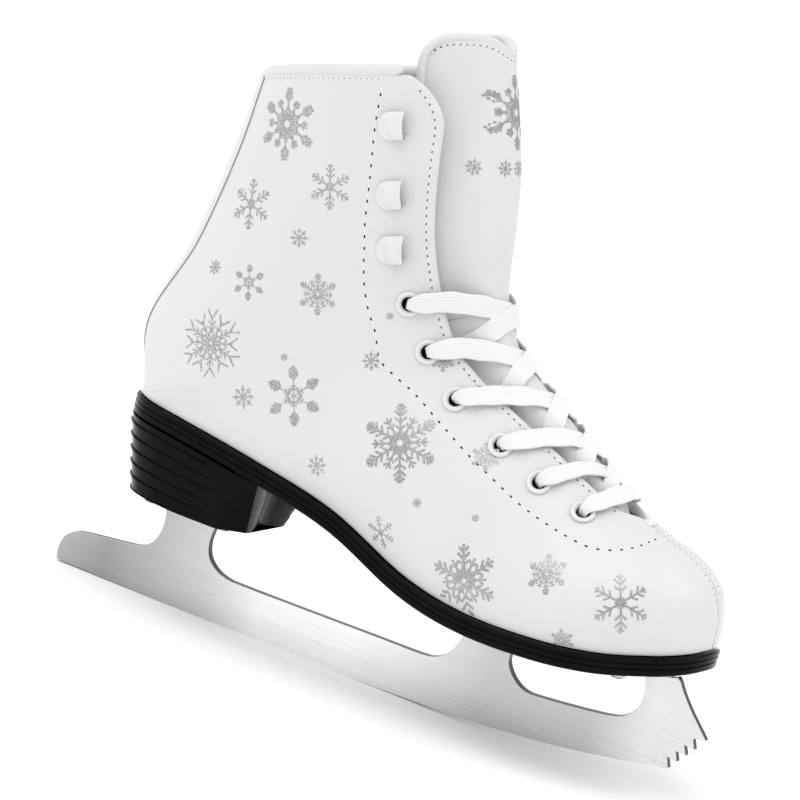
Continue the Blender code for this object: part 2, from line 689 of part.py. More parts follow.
def make_tongue(leather, fleece, axis):
    upper = across_layer("tongue_upper", upper_place, tongue_depth, TONGUE_THICK,
                         TONGUE_ROWS, 13, leather)
    across_layer("tongue_lower", lower_place, tongue_depth, TONGUE_THICK,
                 np.linspace(0, 1, 13) ** 1.35, 13, leather)
    lining = across_layer("tongue_lining", upper_place,
                          lambda t, v: tongue_depth(t, v) + TONGUE_THICK + GAP,
                          TONGUE_LINING_THICK, TONGUE_ROWS, 13, fleece)
    radius, path = 2.0, []
    wing_rows = (0.22, 0.1)
    stops = [(1, row) for row in wing_rows] + [(column, 0.0) for column in np.linspace(1, 0, 9)]
    for sign, line in ((-1, stops), (1, stops[-2::-1])):
        for column, row in line:
            t, v = upper_place(row, column)
            depth = tongue_depth(t, v) + TONGUE_THICK / 2
            along_t, along_v = tangents(t, v, sign)
            corner = max((column - 0.8) / 0.2, 0.0)
            beyond = -along_t * (1 - corner) - along_v * corner
            if row > 0:
                beyond = -along_v
            beyond /= np.linalg.norm(beyond)
            point = inset(t, v, sign, depth, seam=0.0) + beyond * (radius + GAP)
            path.append((point, outward(t, v, sign), beyond))
    binding = tube("tongue_binding", path, radius, 6, leather)
    for piece in (upper, lining, binding):
        piece.parent = axis


# ---------------------------------------------------------------- eyelets, hooks and lace
def make_eyelets(mat):
    rim = EYELET_H + GAP
    profile = ((EYELET_HOLE_R, -LINING[1]), (BARREL_R, -LINING[1]), (BARREL_R, LAYER_GAP),
               (EYELET_R, LAYER_GAP), (EYELET_R * 0.82, rim), (EYELET_HOLE_R, rim * 0.8))
    for word, side in SIDES.items():
        for i, (t, y) in enumerate(EYELETS):
            centre, facing = eyelet_seat(t, y, side)
            turned(f"eyelet_{word}_{i + 1}", centre, facing, profile, 10, mat)


def make_hooks(mat):
    # the hook's side profile: distance towards the front edge, and height off the leather
    profile = ((-5.5, 0.5), (4.5, 0.5), (4.5, 1.5), (-2.6, 1.5), (-3.4, 2.4), (-2.4, 3.4),
               (3.2, 3.8), (4.6, 4.6), (4.2, 5.4), (2.6, 5.0), (-2.8, 4.8), (-4.9, 3.6),
               (-5.9, 1.9))
    for word, side in SIDES.items():
        for i, (t, y) in enumerate(HOOKS):
            v = v_at_y(t, y)
            centre, facing = skin(t, v, side), outward(t, v, side)
            along_t, _ = tangents(t, v, side)
            forward = np.cross(along_t, facing)
            forward *= math.copysign(1.0, forward[0])
            rings = []
            for place, shrink in ((-6.0, 0.72), (-4.6, 1.0), (4.6, 1.0), (6.0, 0.72)):
                rings.append([centre + along_t * place + forward * a * shrink
                              + facing * (GAP + b) for a, b in profile])
            loft(f"hook_{word}_{i + 1}", rings, mat)


def section_arcs(t):
    """Distances along section t from the centre line, and the places v they belong to."""
    vs = np.linspace(1.0, 0.2, 40)
    points = np.array([skin(t, v, 1) for v in vs])
    steps = np.linalg.norm(np.diff(points, axis=0), axis=1)
    return np.concatenate(((0.0,), np.cumsum(steps))), vs


def arc_of(t, v):
    arcs, vs = section_arcs(t)
    return float(np.interp(-v, -vs, arcs))


def lace_stop(t, arc, depth, width=LACE_WIDTH, thick=LACE_THICK):
    """A stop of the lace at an arc from the centre line, positive on the inner side."""
    side = 1 if arc > 0 else -1
    arcs, vs = section_arcs(t)
    v = float(np.interp(abs(arc), arcs, vs))
    along_t, _ = tangents(t, v, side)
    return inset(t, v, side, depth, seam=0.0), along_t, width, thick


def eyelet_arc(k):
    t, y = EYELETS[k]
    return arc_of(t, v_at_y(t, y))


def edge_arc(t):
    return arc_of(t, v_gap(t))


def through_eyelet(k, side):
    """From under eyelet k, up through its hole and out over the facing."""
    t, arc = EYELETS[k][0], eyelet_arc(k)
    bunched = (BUNCHED_WIDTH, BUNCHED_THICK)
    stops = [(0.0, 5.2, *bunched), (0.0, 2.0, *bunched), (0.0, -1.2, *bunched),
             (1.4, -2.7, 4.6, 1.5), (5.0, -2.7, 7.4, 1.2)]
    return [lace_stop(t, side * (arc - step), *rest) for step, *rest in stops]


def across_tongue(k, side):
    """From over eyelet k across the tongue, and under the far facing at eyelet k + 1."""
    t0, t1 = EYELETS[k][0], EYELETS[k + 1][0]
    crest = 3.7 if side > 0 else 2.0
    near_edge, far_edge = edge_arc(t0), edge_arc(t1 + LACE_DIVE_T)
    far_eyelet = eyelet_arc(k + 1)
    # share of the way down to the next eyelet, arc, depth
    stops = [(0.06, near_edge, -1.8), (0.25, near_edge * 0.5, -1.0 - crest * 0.5),
             (0.5, 0.01, -crest), (0.72, -far_edge * 0.42, -1.3), (0.88, -far_edge * 0.7, 1.8),
             (0.97, -far_edge * 0.9, 5.0), (1.0, -far_edge * 1.06, LACE_UNDER)]
    width = LACE_WIDTH if k + 2 < len(EYELETS) else THROAT_LACE_WIDTH
    stops = [lace_stop(t0 + (t1 - t0) * f, side * arc, depth, width) for f, arc, depth in stops]
    stops.append(lace_stop(t1, -side * (far_eyelet - 3.0), LACE_UNDER, 6.0))
    stops.append(lace_stop(t1, -side * (far_eyelet - 0.9), LACE_UNDER, 4.4, 1.2))
    return stops


def lace_tail(side):
    """From under the top eyelet back along the lining, behind the facing."""
    t, arc = EYELETS[0][0], eyelet_arc(0)
    stops = [lace_stop(t, side * (arc + 0.8), LACE_UNDER, 4.4, 1.2)]
    stops += [lace_stop(t, side * (arc + out), LACE_UNDER) for out in (6.0, 12.0, 18.0, 24.0)]
    return stops


def make_lace(mat, tip_mat):
    stops = lace_tail(-1)[::-1]
    side = -1
    last = len(EYELETS) - 1
    for k in range(last):
        stops += through_eyelet(k, side) + across_tongue(k, side)
        side = -side
    stops += through_eyelet(last, side)
    stops += [lace_stop(EYELETS[last][0] + 0.05, side * arc, -2.8) for arc in (7.0, 0.01, -7.0)]
    stops += through_eyelet(last, -side)[::-1]
    back = []
    side = 1
    for k in range(last):
        back += through_eyelet(k, side) + across_tongue(k, side)
        side = -side
    stops += back[::-1] + lace_tail(1)
    ribbon("lace", stops, mat)
    profile = ((0.0, 0.0), (AGLET_R * 0.8, 0.0), (AGLET_R, 2.0), (AGLET_R, AGLET_LENGTH - 2.0),
               (AGLET_R * 0.6, AGLET_LENGTH), (0.0, AGLET_LENGTH))
    for word, sign in SIDES.items():
        t, arc = EYELETS[0][0], eyelet_arc(0) + 24.0 + GAP
        start = lace_stop(t, sign * arc, 6.6)[0]
        end = lace_stop(t, sign * (arc + AGLET_LENGTH), 7.2)[0]
        turned(f"aglet_{word}", start, end - start, profile, 8, tip_mat)


# ---------------------------------------------------------------- the whole skate
def main():
    for obj in list(bpy.data.objects):
        bpy.data.objects.remove(obj, do_unlink=True)
    leather = material("white_leather", (0.86, 0.86, 0.86), 0.45)
    fleece = material("lining_fabric", (0.82, 0.82, 0.82), 0.9)
    stiffener = material("stiffener_board", (0.55, 0.48, 0.38), 0.8)
    black = material("black_sole", (0.01, 0.01, 0.011), 0.25)
    steel = material("polished_steel", (0.62, 0.63, 0.64), 0.3, 1.0)
    enamel = material("white_enamel", (0.88, 0.88, 0.88), 0.25)
    cotton = material("white_lace", (0.9, 0.9, 0.9), 0.85)
    foam = material("footbed_foam", (0.75, 0.75, 0.75), 0.95)

    axis = bpy.data.objects.new("tongue_axis", None)
    axis.location = (TONGUE_AXIS_X * MM, 0.0, TONGUE_AXIS_Z * MM)
    bpy.context.collection.objects.link(axis)

    make_blade(steel)
    make_heel_plate(steel)
    make_sole_plate(steel)
    make_screws(steel)
    make_outsole(black)
    make_heel_block(black)
    make_inner_sole(stiffener, foam, steel)
    make_upper(leather, stiffener, fleece)
    make_collar(leather)
    make_tongue(leather, fleece, axis)
    make_eyelets(enamel)
    make_hooks(enamel)
    make_lace(cotton, enamel)
    for obj in axis.children:
        obj.matrix_parent_inverse = Matrix.Translation(axis.location).inverted()


main()
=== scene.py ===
"""Looks of the figure skate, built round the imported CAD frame.

Lengths are in millimetres and become metres when a mesh is made. The boot's outer face is the
same loft as in the CAD: a place on it is t along the sections from the collar over the heel to
the toe, v round the section from the back or sole (0) to the centre of the instep (1), and
side, -1 on the outer side of the foot and 1 on the inner side. Depth is measured inwards.
"""
import math

import bmesh
import bpy
import numpy as np
from mathutils import Matrix, Vector


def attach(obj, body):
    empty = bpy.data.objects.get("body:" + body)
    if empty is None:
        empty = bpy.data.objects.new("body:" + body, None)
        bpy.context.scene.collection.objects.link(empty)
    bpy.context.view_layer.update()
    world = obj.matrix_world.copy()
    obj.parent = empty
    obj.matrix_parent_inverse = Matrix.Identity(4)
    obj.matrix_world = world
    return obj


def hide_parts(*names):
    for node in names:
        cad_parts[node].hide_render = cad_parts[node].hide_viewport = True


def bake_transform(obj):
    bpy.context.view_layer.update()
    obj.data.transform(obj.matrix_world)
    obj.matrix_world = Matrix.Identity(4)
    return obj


MM = 0.001
SIDES = {"right": -1, "left": 1}      # of the foot, in a right-foot skate
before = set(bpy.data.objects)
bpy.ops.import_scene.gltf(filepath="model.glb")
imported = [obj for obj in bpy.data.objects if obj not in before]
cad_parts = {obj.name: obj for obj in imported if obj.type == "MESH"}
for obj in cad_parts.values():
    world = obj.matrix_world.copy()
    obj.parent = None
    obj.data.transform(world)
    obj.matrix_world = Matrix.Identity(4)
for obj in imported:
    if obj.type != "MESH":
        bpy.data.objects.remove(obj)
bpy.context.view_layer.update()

# ------------------------ sizes shared with the CAD
# back x, back z, front x, front z, half-width at the sole, greatest half-width,
# where that comes (0 back to 1 front), half the gap between the facings
STATIONS = np.array([
    (-64.0, 242.0, 37.0, 276.0, 0.0, 36.5, 0.46, 28.0),
    (-66.5, 217.0, 46.0, 250.0, 0.0, 36.0, 0.46, 27.5),
    (-69.5, 187.0, 52.5, 221.0, 0.0, 34.0, 0.45, 26.0),
    (-76.0, 148.0, 55.5, 193.0, 0.0, 32.5, 0.41, 22.5),
    (-86.0, 111.0, 60.0, 169.0, 0.0, 32.5, 0.34, 18.5),
    (-79.5, 82.5, 67.5, 153.0, 0.0, 33.0, 0.26, 16.5),
    (-76.5, 82.3, 74.5, 145.5, 12.5, 33.0, 0.26, 16.2),
    (-66.5, 82.1, 81.0, 140.8, 22.5, 33.0, 0.27, 16.0),
    (-48.0, 81.0, 89.0, 136.0, 28.0, 33.0, 0.28, 15.8),
    (-14.0, 76.0, 100.0, 129.0, 28.5, 34.5, 0.27, 15.2),
    (24.0, 67.8, 112.0, 121.0, 26.5, 36.5, 0.24, 13.6),
    (62.0, 54.2, 124.0, 113.5, 29.5, 39.0, 0.22, 11.5),
    (95.0, 51.0, 137.0, 107.0, 38.0, 42.0, 0.22, 9.0),
    (125.0, 52.8, 150.0, 101.0, 41.0, 43.0, 0.25, 0.4),
    (150.0, 55.5, 162.0, 97.0, 37.0, 39.5, 0.28, 0.4),
    (168.0, 59.3, 171.0, 92.5, 28.0, 31.0, 0.30, 0.4),
    (178.5, 62.3, 177.5, 87.0, 16.5, 19.0, 0.30, 0.4),
    (183.0, 64.3, 182.5, 76.0, 0.0, 0.0, 0.30, 0.4),
])
BACK, WIDTHS = slice(0, 2), slice(4, 6)
FEATHER, WIDEST, HALF_GAP = 4, 5, 7
T_HEEL, T_THROAT, T_TOE = 5, 12.4, 17.0
THROAT_ROUND, SEAM_HALF = 0.6, 0.4
V_WIDEST = 0.45
HEEL_FAN, FAN_TOP, FAN_BLEND = (4.75, 5.8), 0.35, 0.2
WALL_STEEPNESS, WALL_STRETCH = 0.6, 3.0
FOREFOOT_BULGE, BULGE_X = 3.0, (95.0, 178.0)

SOLE_THICK, WELT, LAYER_GAP, GAP = 8.0, 2.0, 0.45, 0.3
HEEL_BASE_Z = 44.0
PLATE_DROP = 3.3              # from the sole's underside to the blade's top
BLADE_HALF = 1.9
EYELETS = ((4.05, 23.7), (5.08, 21.3), (7.8, 22.6), (9.38, 24.0), (10.46, 24.3), (11.55, 22.4))
HOOKS = ((1.55, 33.1), (2.45, 30.2), (3.19, 27.5))
LACE_WIDTH, LACE_THICK, LACE_UNDER = 8.4, 1.2, 5.8     # and its depth under the facings
WING_DEPTH, CREST_DEPTH, TONGUE_THICK = 7.4, 1.1, 3.4
TOP_SINK, WING_SINK, SINK_T, SINK_STRETCH = 8.0, 4.8, 3.2, 2.6
TONGUE_WING_V = 0.09
TINY = 0.004                  # the step in t or v over which slopes are measured


# ------------------------ the boot's outer face
def clip01(a):
    return np.clip(a, 0.0, 1.0)


def smooth(a):
    a = clip01(a)
    return a * a * (3 - 2 * a)


def stations(t):
    """The sections' numbers at t, on a smooth curve through STATIONS."""
    table = STATIONS.copy()
    table[:, WIDTHS] **= 2    # squared widths close to a round end, not to a point
    start, end = table[:-1], table[1:]
    before = np.vstack((2 * table[:1] - table[1:2], table[:-2]))
    after = np.vstack((table[2:], 2 * table[-1:] - table[-2:-1]))
    before[T_HEEL, BACK] = (2 * start - end)[T_HEEL, BACK]
    after[T_HEEL - 1, BACK] = (2 * end - start)[T_HEEL - 1, BACK]
    t = np.asarray(t, float)
    i = np.clip(np.floor(t).astype(int), 0, len(start) - 1)
    f = (t - i)[..., None]
    rows = ((2 * f ** 3 - 3 * f ** 2 + 1) * start[i]
            + (f ** 3 - 2 * f ** 2 + f) * (end[i] - before[i]) / 2
            + (3 * f ** 2 - 2 * f ** 3) * end[i]
            + (f ** 3 - f ** 2) * (after[i] - start[i]) / 2)
    rows[..., WIDTHS] = np.sqrt(np.maximum(rows[..., WIDTHS], 0.0))
    return rows


def swing(x):
    """The boot's centre line at x: the forefoot leans outwards."""
    f = clip01((x - BULGE_X[0]) / (BULGE_X[1] - BULGE_X[0]))
    return -FOREFOOT_BULGE * np.sin(math.pi * f) ** 2


def skin(t, v, side):
    """Points of the boot's outer face."""
    t, v, side = np.broadcast_arrays(*(np.asarray(a, float) for a in (t, v, side)))
    rows = stations(t)
    back_x, back_z, front_x, front_z, feather, widest, rise = (rows[..., k] for k in range(7))
    feather = np.minimum(feather, widest)
    low = v / V_WIDEST * math.pi / 2
    high = (v - V_WIDEST) / (1 - V_WIDEST) * math.pi / 2
    wall = WALL_STEEPNESS * clip01((t - T_HEEL) / WALL_STRETCH)
    below = v < V_WIDEST
    s = np.where(below, rise * ((1 - wall) * (1 - np.cos(low)) + wall * v / V_WIDEST),
                 rise + (1 - rise) * np.sin(high))
    y = np.where(below, feather + (widest - feather) * np.sin(low), widest * np.cos(high))
    x = back_x + s * (front_x - back_x)
    return np.stack((x, side * y + swing(x), back_z + s * (front_z - back_z)), -1)


def unit(a):
    return a / np.maximum(np.linalg.norm(a, axis=-1, keepdims=True), 1e-9)


def tangents(t, v, side):
    """The outer face's directions along t and along v."""
    t = np.clip(t, TINY, T_TOE - 0.05)
    v = np.clip(v, TINY, 1 - TINY)
    return (unit(skin(t + TINY, v, side) - skin(t - TINY, v, side)),
            unit(skin(t, v + TINY, side) - skin(t, v - TINY, side)))


def plain_normal(t, v, side):
    along_t, along_v = tangents(t, v, side)
    return unit(np.cross(along_v, along_t) * np.asarray(side, float)[..., None])


def outward(t, v, side):
    """The outer face's normal, evened out where the sections fan round the heel."""
    t, v, side = np.broadcast_arrays(*(np.asarray(a, float) for a in (t, v, side)))
    normal = plain_normal(t, v, side)
    first, last = HEEL_FAN
    along = ((t - first) / (last - first))[..., None]
    share = clip01((FAN_TOP - v) / FAN_BLEND)[..., None]
    share = np.where((along > 0) & (along < 1), share, 0.0)
    even = ((1 - along) * plain_normal(np.full_like(t, first), v, side)
            + along * plain_normal(np.full_like(t, last), v, side))
    return unit((1 - share) * normal + share * even)


def inset(t, v, side, depth, seam=SEAM_HALF):
    """Points at a depth under the outer face, kept on their own side of the centre seam."""
    side = np.asarray(side, float)
    points = skin(t, v, side) - np.asarray(depth, float)[..., None] * outward(t, v, side)
    middle = swing(points[..., 0])
    over = side * (points[..., 1] - middle) < seam
    points[..., 1] = np.where(over, middle + side * seam, points[..., 1])
    return points


def v_at_y(t, y):
    """The place v on the front of section t that lies y from the centre line."""
    widest = np.maximum(stations(t)[..., WIDEST], 1e-6)
    return V_WIDEST + (1 - V_WIDEST) * np.arccos(np.clip(y / widest, 0, 1)) / (math.pi / 2)


def half_gap(t):
    """Half the distance between the facings, which closes in a curve at the throat."""
    near = clip01((t - T_THROAT + THROAT_ROUND) / THROAT_ROUND)
    return stations(t)[..., HALF_GAP] * np.sqrt(1 - near ** 2)


def v_gap(t):
    """The front edge of the facings in the CAD."""
    return v_at_y(t, np.maximum(half_gap(t), SEAM_HALF))


EDGE_BACK, EDGE_BACK_END_T = 0.7, 6.0      # the rolled edge stands this far back on the shaft
CORNER_T, CORNER_STRETCH, CORNER_BACK, CORNER_POWER = 1.6, 0.84, 6.5, 1.7


def v_edge(t):
    """The facings' rolled front edge, with its corner at the collar rounded off."""
    t = np.asarray(t, float)
    corner = clip01((CORNER_T - t) / CORNER_STRETCH)
    half = half_gap(t) + EDGE_BACK * clip01(EDGE_BACK_END_T - t)
    half = half + CORNER_BACK * corner ** CORNER_POWER
    return v_at_y(t, np.maximum(half, SEAM_HALF))


def sole_rim(t, side, out):
    """Points on the sole's rim, a distance out from where the upper meets it, with its z."""
    t = np.asarray(t, float)

    def feather(at):
        rows = stations(at)
        return np.stack((rows[..., 0], side * rows[..., FEATHER]), -1)
    along = unit(feather(np.minimum(t + TINY, T_TOE)) - feather(np.maximum(t - TINY, T_HEEL)))
    xy = feather(t) + out * side * np.stack((-along[..., 1], along[..., 0]), -1)
    return np.stack((xy[..., 0], xy[..., 1] + swing(xy[..., 0]), stations(t)[..., 1]), -1)


def heel_to_toe(count):
    """Places t from the heel to the toe, closer together towards both ends."""
    return T_HEEL + (T_TOE - T_HEEL) * (1 - np.cos(np.linspace(0, math.pi, count))) / 2


SOLE_TS = heel_to_toe(121)
SOLE_LINE = stations(SOLE_TS)[:, BACK]


def sole_top(x):
    return np.interp(x, SOLE_LINE[:, 0], SOLE_LINE[:, 1]) - LAYER_GAP


# ------------------------ meshes
class Shape:
    """Points in millimetres and faces, gathered for one piece."""

    def __init__(self):
        self.points, self.faces, self.kinds, self.places, self.count = [], [], [], [], 0

    def add(self, points, faces, kind=0, places=None):
        points = np.asarray(points, float).reshape(-1, 3)
        self.points.append(points)
        self.faces += [[i + self.count for i in face] for face in faces]
        self.kinds += [kind] * len(faces)
        self.places.append(np.zeros((len(points), 3)) if places is None else places)
        self.count += len(points)

    def build(self, name, mats, sharp=40.0):
        mesh = bpy.data.meshes.new(name)
        mesh.from_pydata((np.concatenate(self.points) * MM).tolist(), [], self.faces)
        mesh.polygons.foreach_set("material_index", self.kinds)
        places = mesh.attributes.new("place", "FLOAT_VECTOR", "POINT")
        places.data.foreach_set("vector", np.concatenate(self.places).astype(np.float32).ravel())
        bm = bmesh.new()
        bm.from_mesh(mesh)
        bmesh.ops.remove_doubles(bm, verts=bm.verts, dist=0.002 * MM)
        bmesh.ops.recalc_face_normals(bm, faces=bm.faces)
        bm.to_mesh(mesh)
        bm.free()
        for mat in mats:
            mesh.materials.append(mat)
        mesh.shade_smooth()
        mesh.set_sharp_from_angle(angle=math.radians(sharp))
        obj = bpy.data.objects.new(name, mesh)
        bpy.context.collection.objects.link(obj)
        return obj


def grid_faces(rows, columns, around=False, along=False):
    """Quads of a grid of points, closed over its columns or its rows where asked."""
    faces = []
    for i in range(rows if along else rows - 1):
        for j in range(columns if around else columns - 1):
            a, b = i * columns, (i + 1) % rows * columns
            k = (j + 1) % columns
            faces.append((a + j, a + k, b + k, b + j))
    return faces


def ring_caps(rows, columns):
    """Ends of a tube of rings whose first half faces its second half."""
    faces = []
    for first in (0, (rows - 1) * columns):
        for j in range(columns // 2 - 1):
            faces.append((first + j, first + j + 1, first + columns - 2 - j,
                          first + columns - 1 - j))
    return faces


def tube(shape, rings, kind=0, places=None):
    """A closed tube through an array of rings, each a loop of an even number of points."""
    rows, columns = rings.shape[:2]
    faces = grid_faces(rows, columns, around=True) + ring_caps(rows, columns)
    shape.add(rings, faces, kind, places)
    return shape


def slab(shape, outer, inner, kind=0):
    """A closed slab between two grids of points of the same size."""
    return tube(shape, np.concatenate((outer, inner[:, ::-1]), axis=1), kind)


def turned(shape, origin, axis, profile, segments, kind=0):
    """A turned ring: profile points are radius and height along the axis, as a closed loop."""
    axis = unit(np.asarray(axis, float))
    helper = np.array((1.0, 0.0, 0.0)) if abs(axis[0]) < 0.7 else np.array((0.0, 1.0, 0.0))
    across = unit(np.cross(axis, helper))
    other = np.cross(axis, across)
    angles = np.linspace(0, 2 * math.pi, segments, endpoint=False)[:, None, None]
    radii, heights = np.array(profile).T[:, None, :, None]
    spokes = across * np.cos(angles) + other * np.sin(angles)
    shape.add(origin + spokes * radii + axis * heights,
              grid_faces(segments, len(profile), around=True, along=True), kind)
    return shape


def rounded(points, steps=6):
    """An open run of points turned into a smooth curve through them."""
    points = np.asarray(points, float)
    first, last = 2 * points[:1] - points[1:2], 2 * points[-1:] - points[-2:-1]
    p = np.vstack((first, points, last))
    f = np.linspace(0, 1, steps, endpoint=False)[:, None]
    runs = []
    for a, b, c, d in zip(p, p[1:], p[2:], p[3:]):
        runs.append(0.5 * (2 * b + (c - a) * f + (2 * a - 5 * b + 4 * c - d) * f ** 2
                           + (3 * b - a - 3 * c + d) * f ** 3))
    return np.vstack(runs + [points[-1:]])


def resample(values, gap):
    """Rows of values whose first three are a point, spaced evenly along the line."""
    steps = np.linalg.norm(np.diff(values[:, :3], axis=0), axis=1)
    run = np.concatenate(((0.0,), np.cumsum(steps)))
    count = max(int(round(run[-1] / gap)), 2)
    at = np.linspace(0, run[-1], count + 1)
    return np.stack([np.interp(at, run, values[:, k]) for k in range(values.shape[1])], 1), at


def relaxed(values, passes):
    """The same rows with their corners eased, ends kept."""
    values = values.copy()
    for _ in range(passes):
        values[1:-1] = (values[:-2] + 2 * values[1:-1] + values[2:]) / 4
    return values


# ------------------------ materials
class Finish:
    """A Principled material and the nodes that drive it."""

    def __init__(self, name, color, roughness, metallic=0.0, specular=0.5):
        self.mat = bpy.data.materials.new(name)
        self.mat.use_nodes = True
        self.nodes, self.links = self.mat.node_tree.nodes, self.mat.node_tree.links
        self.shader = self.nodes["Principled BSDF"]
        self.fill(self.shader, {"Base Color": (*color, 1.0), "Roughness": roughness,
                                "Metallic": metallic, "Specular IOR Level": specular})
        self.coords = self.nodes.new("ShaderNodeTexCoord").outputs["Object"]
        self.height = None

    def fill(self, node, inputs):
        """Each input gets a constant, or a link from the output that drives it."""
        for socket, value in inputs.items():
            if isinstance(value, bpy.types.NodeSocket):
                self.links.new(value, node.inputs[socket])
            else:
                node.inputs[socket].default_value = value

    def add(self, kind, inputs):
        node = self.nodes.new(kind)
        self.fill(node, inputs)
        return node

    def stretched(self, scale, source=None):
        node = self.add("ShaderNodeMapping", {"Scale": scale, "Vector": source or self.coords})
        return node.outputs["Vector"]

    def attribute(self, name):
        node = self.nodes.new("ShaderNodeAttribute")
        node.attribute_name = name
        return node.outputs["Vector"]

    def noise(self, scale, detail=3.0, source=None):
        node = self.add("ShaderNodeTexNoise", {"Scale": scale, "Detail": detail,
                                               "Vector": source or self.coords})
        return node.outputs["Fac"]

    def cells(self, scale):
        node = self.add("ShaderNodeTexVoronoi", {"Vector": self.coords})
        node.feature = "SMOOTH_F1"
        node.inputs["Scale"].default_value = scale
        return node.outputs["Distance"]

    def waves(self, scale, direction, source=None, distortion=0.0):
        node = self.add("ShaderNodeTexWave", {"Scale": scale, "Distortion": distortion,
                                              "Vector": source or self.coords})
        node.bands_direction = direction
        return node.outputs["Fac"]

    def ramp(self, fac, stops):
        """Each stop is a place from 0 to 1 with its tone, or with its red, green and blue."""
        node = self.add("ShaderNodeValToRGB", {"Fac": fac})
        elements = node.color_ramp.elements
        while len(elements) < len(stops):
            elements.new(0.5)
        for element, (place, value) in zip(elements, stops):
            element.position = place
            color = value if hasattr(value, "__len__") else (value, value, value)
            element.color = (*color, 1.0)
        return node.outputs["Color"]

    def along(self, stops):
        """Tones at places along the object's X axis, in millimetres."""
        split = self.add("ShaderNodeSeparateXYZ", {0: self.coords})
        first, last = stops[0][0], stops[-1][0]
        node = self.add("ShaderNodeMapRange", {"From Min": first * MM, "From Max": last * MM,
                                               "Value": split.outputs["X"]})
        return self.ramp(node.outputs["Result"],
                         [((x - first) / (last - first), tone) for x, tone in stops])

    def times(self, first, second):
        node = self.nodes.new("ShaderNodeMix")
        node.data_type = "RGBA"
        node.blend_type = "MULTIPLY"
        self.fill(node, {"Factor": 1.0, 6: first, 7: second})
        return node.outputs[2]

    def color(self, output):
        self.fill(self.shader, {"Base Color": output})

    def roughness(self, fac, low, high):
        node = self.add("ShaderNodeMapRange", {"To Min": low, "To Max": high, "Value": fac})
        self.fill(self.shader, {"Roughness": node.outputs["Result"]})

    def bump(self, fac, distance, strength):
        """Adds a bump whose full height is the distance, in millimetres."""
        node = self.add("ShaderNodeBump", {"Strength": strength, "Distance": distance * MM,
                                           "Height": fac})
        if self.height is not None:
            self.fill(node, {"Normal": self.height})
        self.height = node.outputs["Normal"]
        self.fill(self.shader, {"Normal": self.height})


def leather_finish():
    f = Finish("coated_leather", (0.645, 0.645, 0.645), 0.42, specular=0.4)
    f.color(f.ramp(f.noise(26.0, 4.0), ((0.3, 0.645 * 0.975), (0.7, 0.645))))
    f.roughness(f.noise(180.0, 4.0), 0.36, 0.5)
    f.bump(f.noise(55.0), 0.25, 0.25)
    f.bump(f.cells(1150.0), 0.05, 0.5)
    return f.mat


def foil_finish():
    f = Finish("silver_foil", (0.4, 0.4, 0.41), 0.35, metallic=1.0)
    f.color(f.ramp(f.cells(1500.0), ((0.1, 0.28), (0.55, 0.42), (0.9, 0.68))))
    f.roughness(f.noise(900.0), 0.25, 0.5)
    f.bump(f.noise(1600.0), 0.03, 0.6)
    return f.mat


def rubber_finish():
    f = Finish("glossy_sole", (0.002, 0.002, 0.002), 0.16, specular=0.07)
    f.color(f.ramp(f.noise(60.0), ((0.35, 0.0015), (0.75, 0.003))))
    f.roughness(f.noise(240.0, 5.0), 0.12, 0.26)
    f.bump(f.noise(420.0), 0.02, 0.35)
    return f.mat


# painted reflection: the brushed face's tone along the blade, from tail to toe, stands in for the
# light and shade it reflects
BLADE_PAINTED_REFLECTION = ((-100.0, 0.48), (-78.0, 0.36), (-55.0, 0.50), (-30.0, 0.66), (-5.0, 0.97),
               (35.0, 1.0), (62.0, 0.86), (99.0, 0.58), (144.0, 0.55), (168.0, 0.78), (192.0, 0.74))


def steel_finish(name, tone, dark=False):
    f = Finish(name, (tone, tone, tone), 0.3, metallic=1.0)
    streaks = f.noise(1.0, 6.0, f.stretched((14.0, 900.0, 1900.0)))
    if dark:
        f.color(f.ramp(streaks, ((0.3, 0.03), (0.7, 0.08))))
    else:
        brushed = f.ramp(streaks, ((0.25, tone * 0.84), (0.75, tone)))
        # painted reflection: the brushed colour is scaled by a tone that changes along X
        f.color(f.times(brushed, f.along(BLADE_PAINTED_REFLECTION)))
    f.roughness(streaks, 0.22, 0.4)
    f.bump(streaks, 0.02, 0.5)
    return f.mat


def enamel_finish():
    f = Finish("white_enamel", (0.68, 0.68, 0.68), 0.25, specular=0.35)
    f.color(f.ramp(f.noise(300.0), ((0.3, 0.66), (0.7, 0.69))))
    f.roughness(f.noise(500.0), 0.16, 0.3)
    f.bump(f.noise(380.0), 0.05, 0.3)
    return f.mat


def cotton_finish():
    """Lace: the place attribute is millimetres along the lace and across it."""
    f = Finish("ribbed_cotton", (0.76, 0.76, 0.76), 0.85, specular=0.2)
    place = f.attribute("place")
    weave = f.waves(0.42, "X", f.stretched((1.0, 0.25, 1.0), place), 1.2)
    grooves = f.waves(0.262, "Y", place)
    # painted shade: the colour darkens in the grooves between the lace's ribs
    f.color(f.times(f.ramp(weave, ((0.0, 0.735), (1.0, 0.765))),
                    f.ramp(grooves, ((0.55, 1.0), (1.0, 0.93)))))
    f.fill(f.shader, {"Sheen Weight": 0.1})
    f.bump(weave, 0.05, 0.25)
    f.bump(f.noise(2600.0), 0.04, 0.4)
    return f.mat


def fleece_finish():
    f = Finish("lining_fleece", (0.78, 0.78, 0.78), 0.95, specular=0.15)
    f.color(f.ramp(f.noise(420.0, 5.0), ((0.3, 0.70), (0.7, 0.80))))
    f.fill(f.shader, {"Sheen Weight": 0.3})
    f.bump(f.noise(700.0, 6.0), 0.35, 0.7)
    return f.mat


def thread_finish(name, tone):
    f = Finish(name, (tone, tone, tone), 0.7, specular=0.3)
    f.color(f.ramp(f.noise(2400.0), ((0.3, tone * 0.85), (0.7, tone))))
    f.bump(f.waves(900.0, "DIAGONAL"), 0.06, 0.6)
    return f.mat


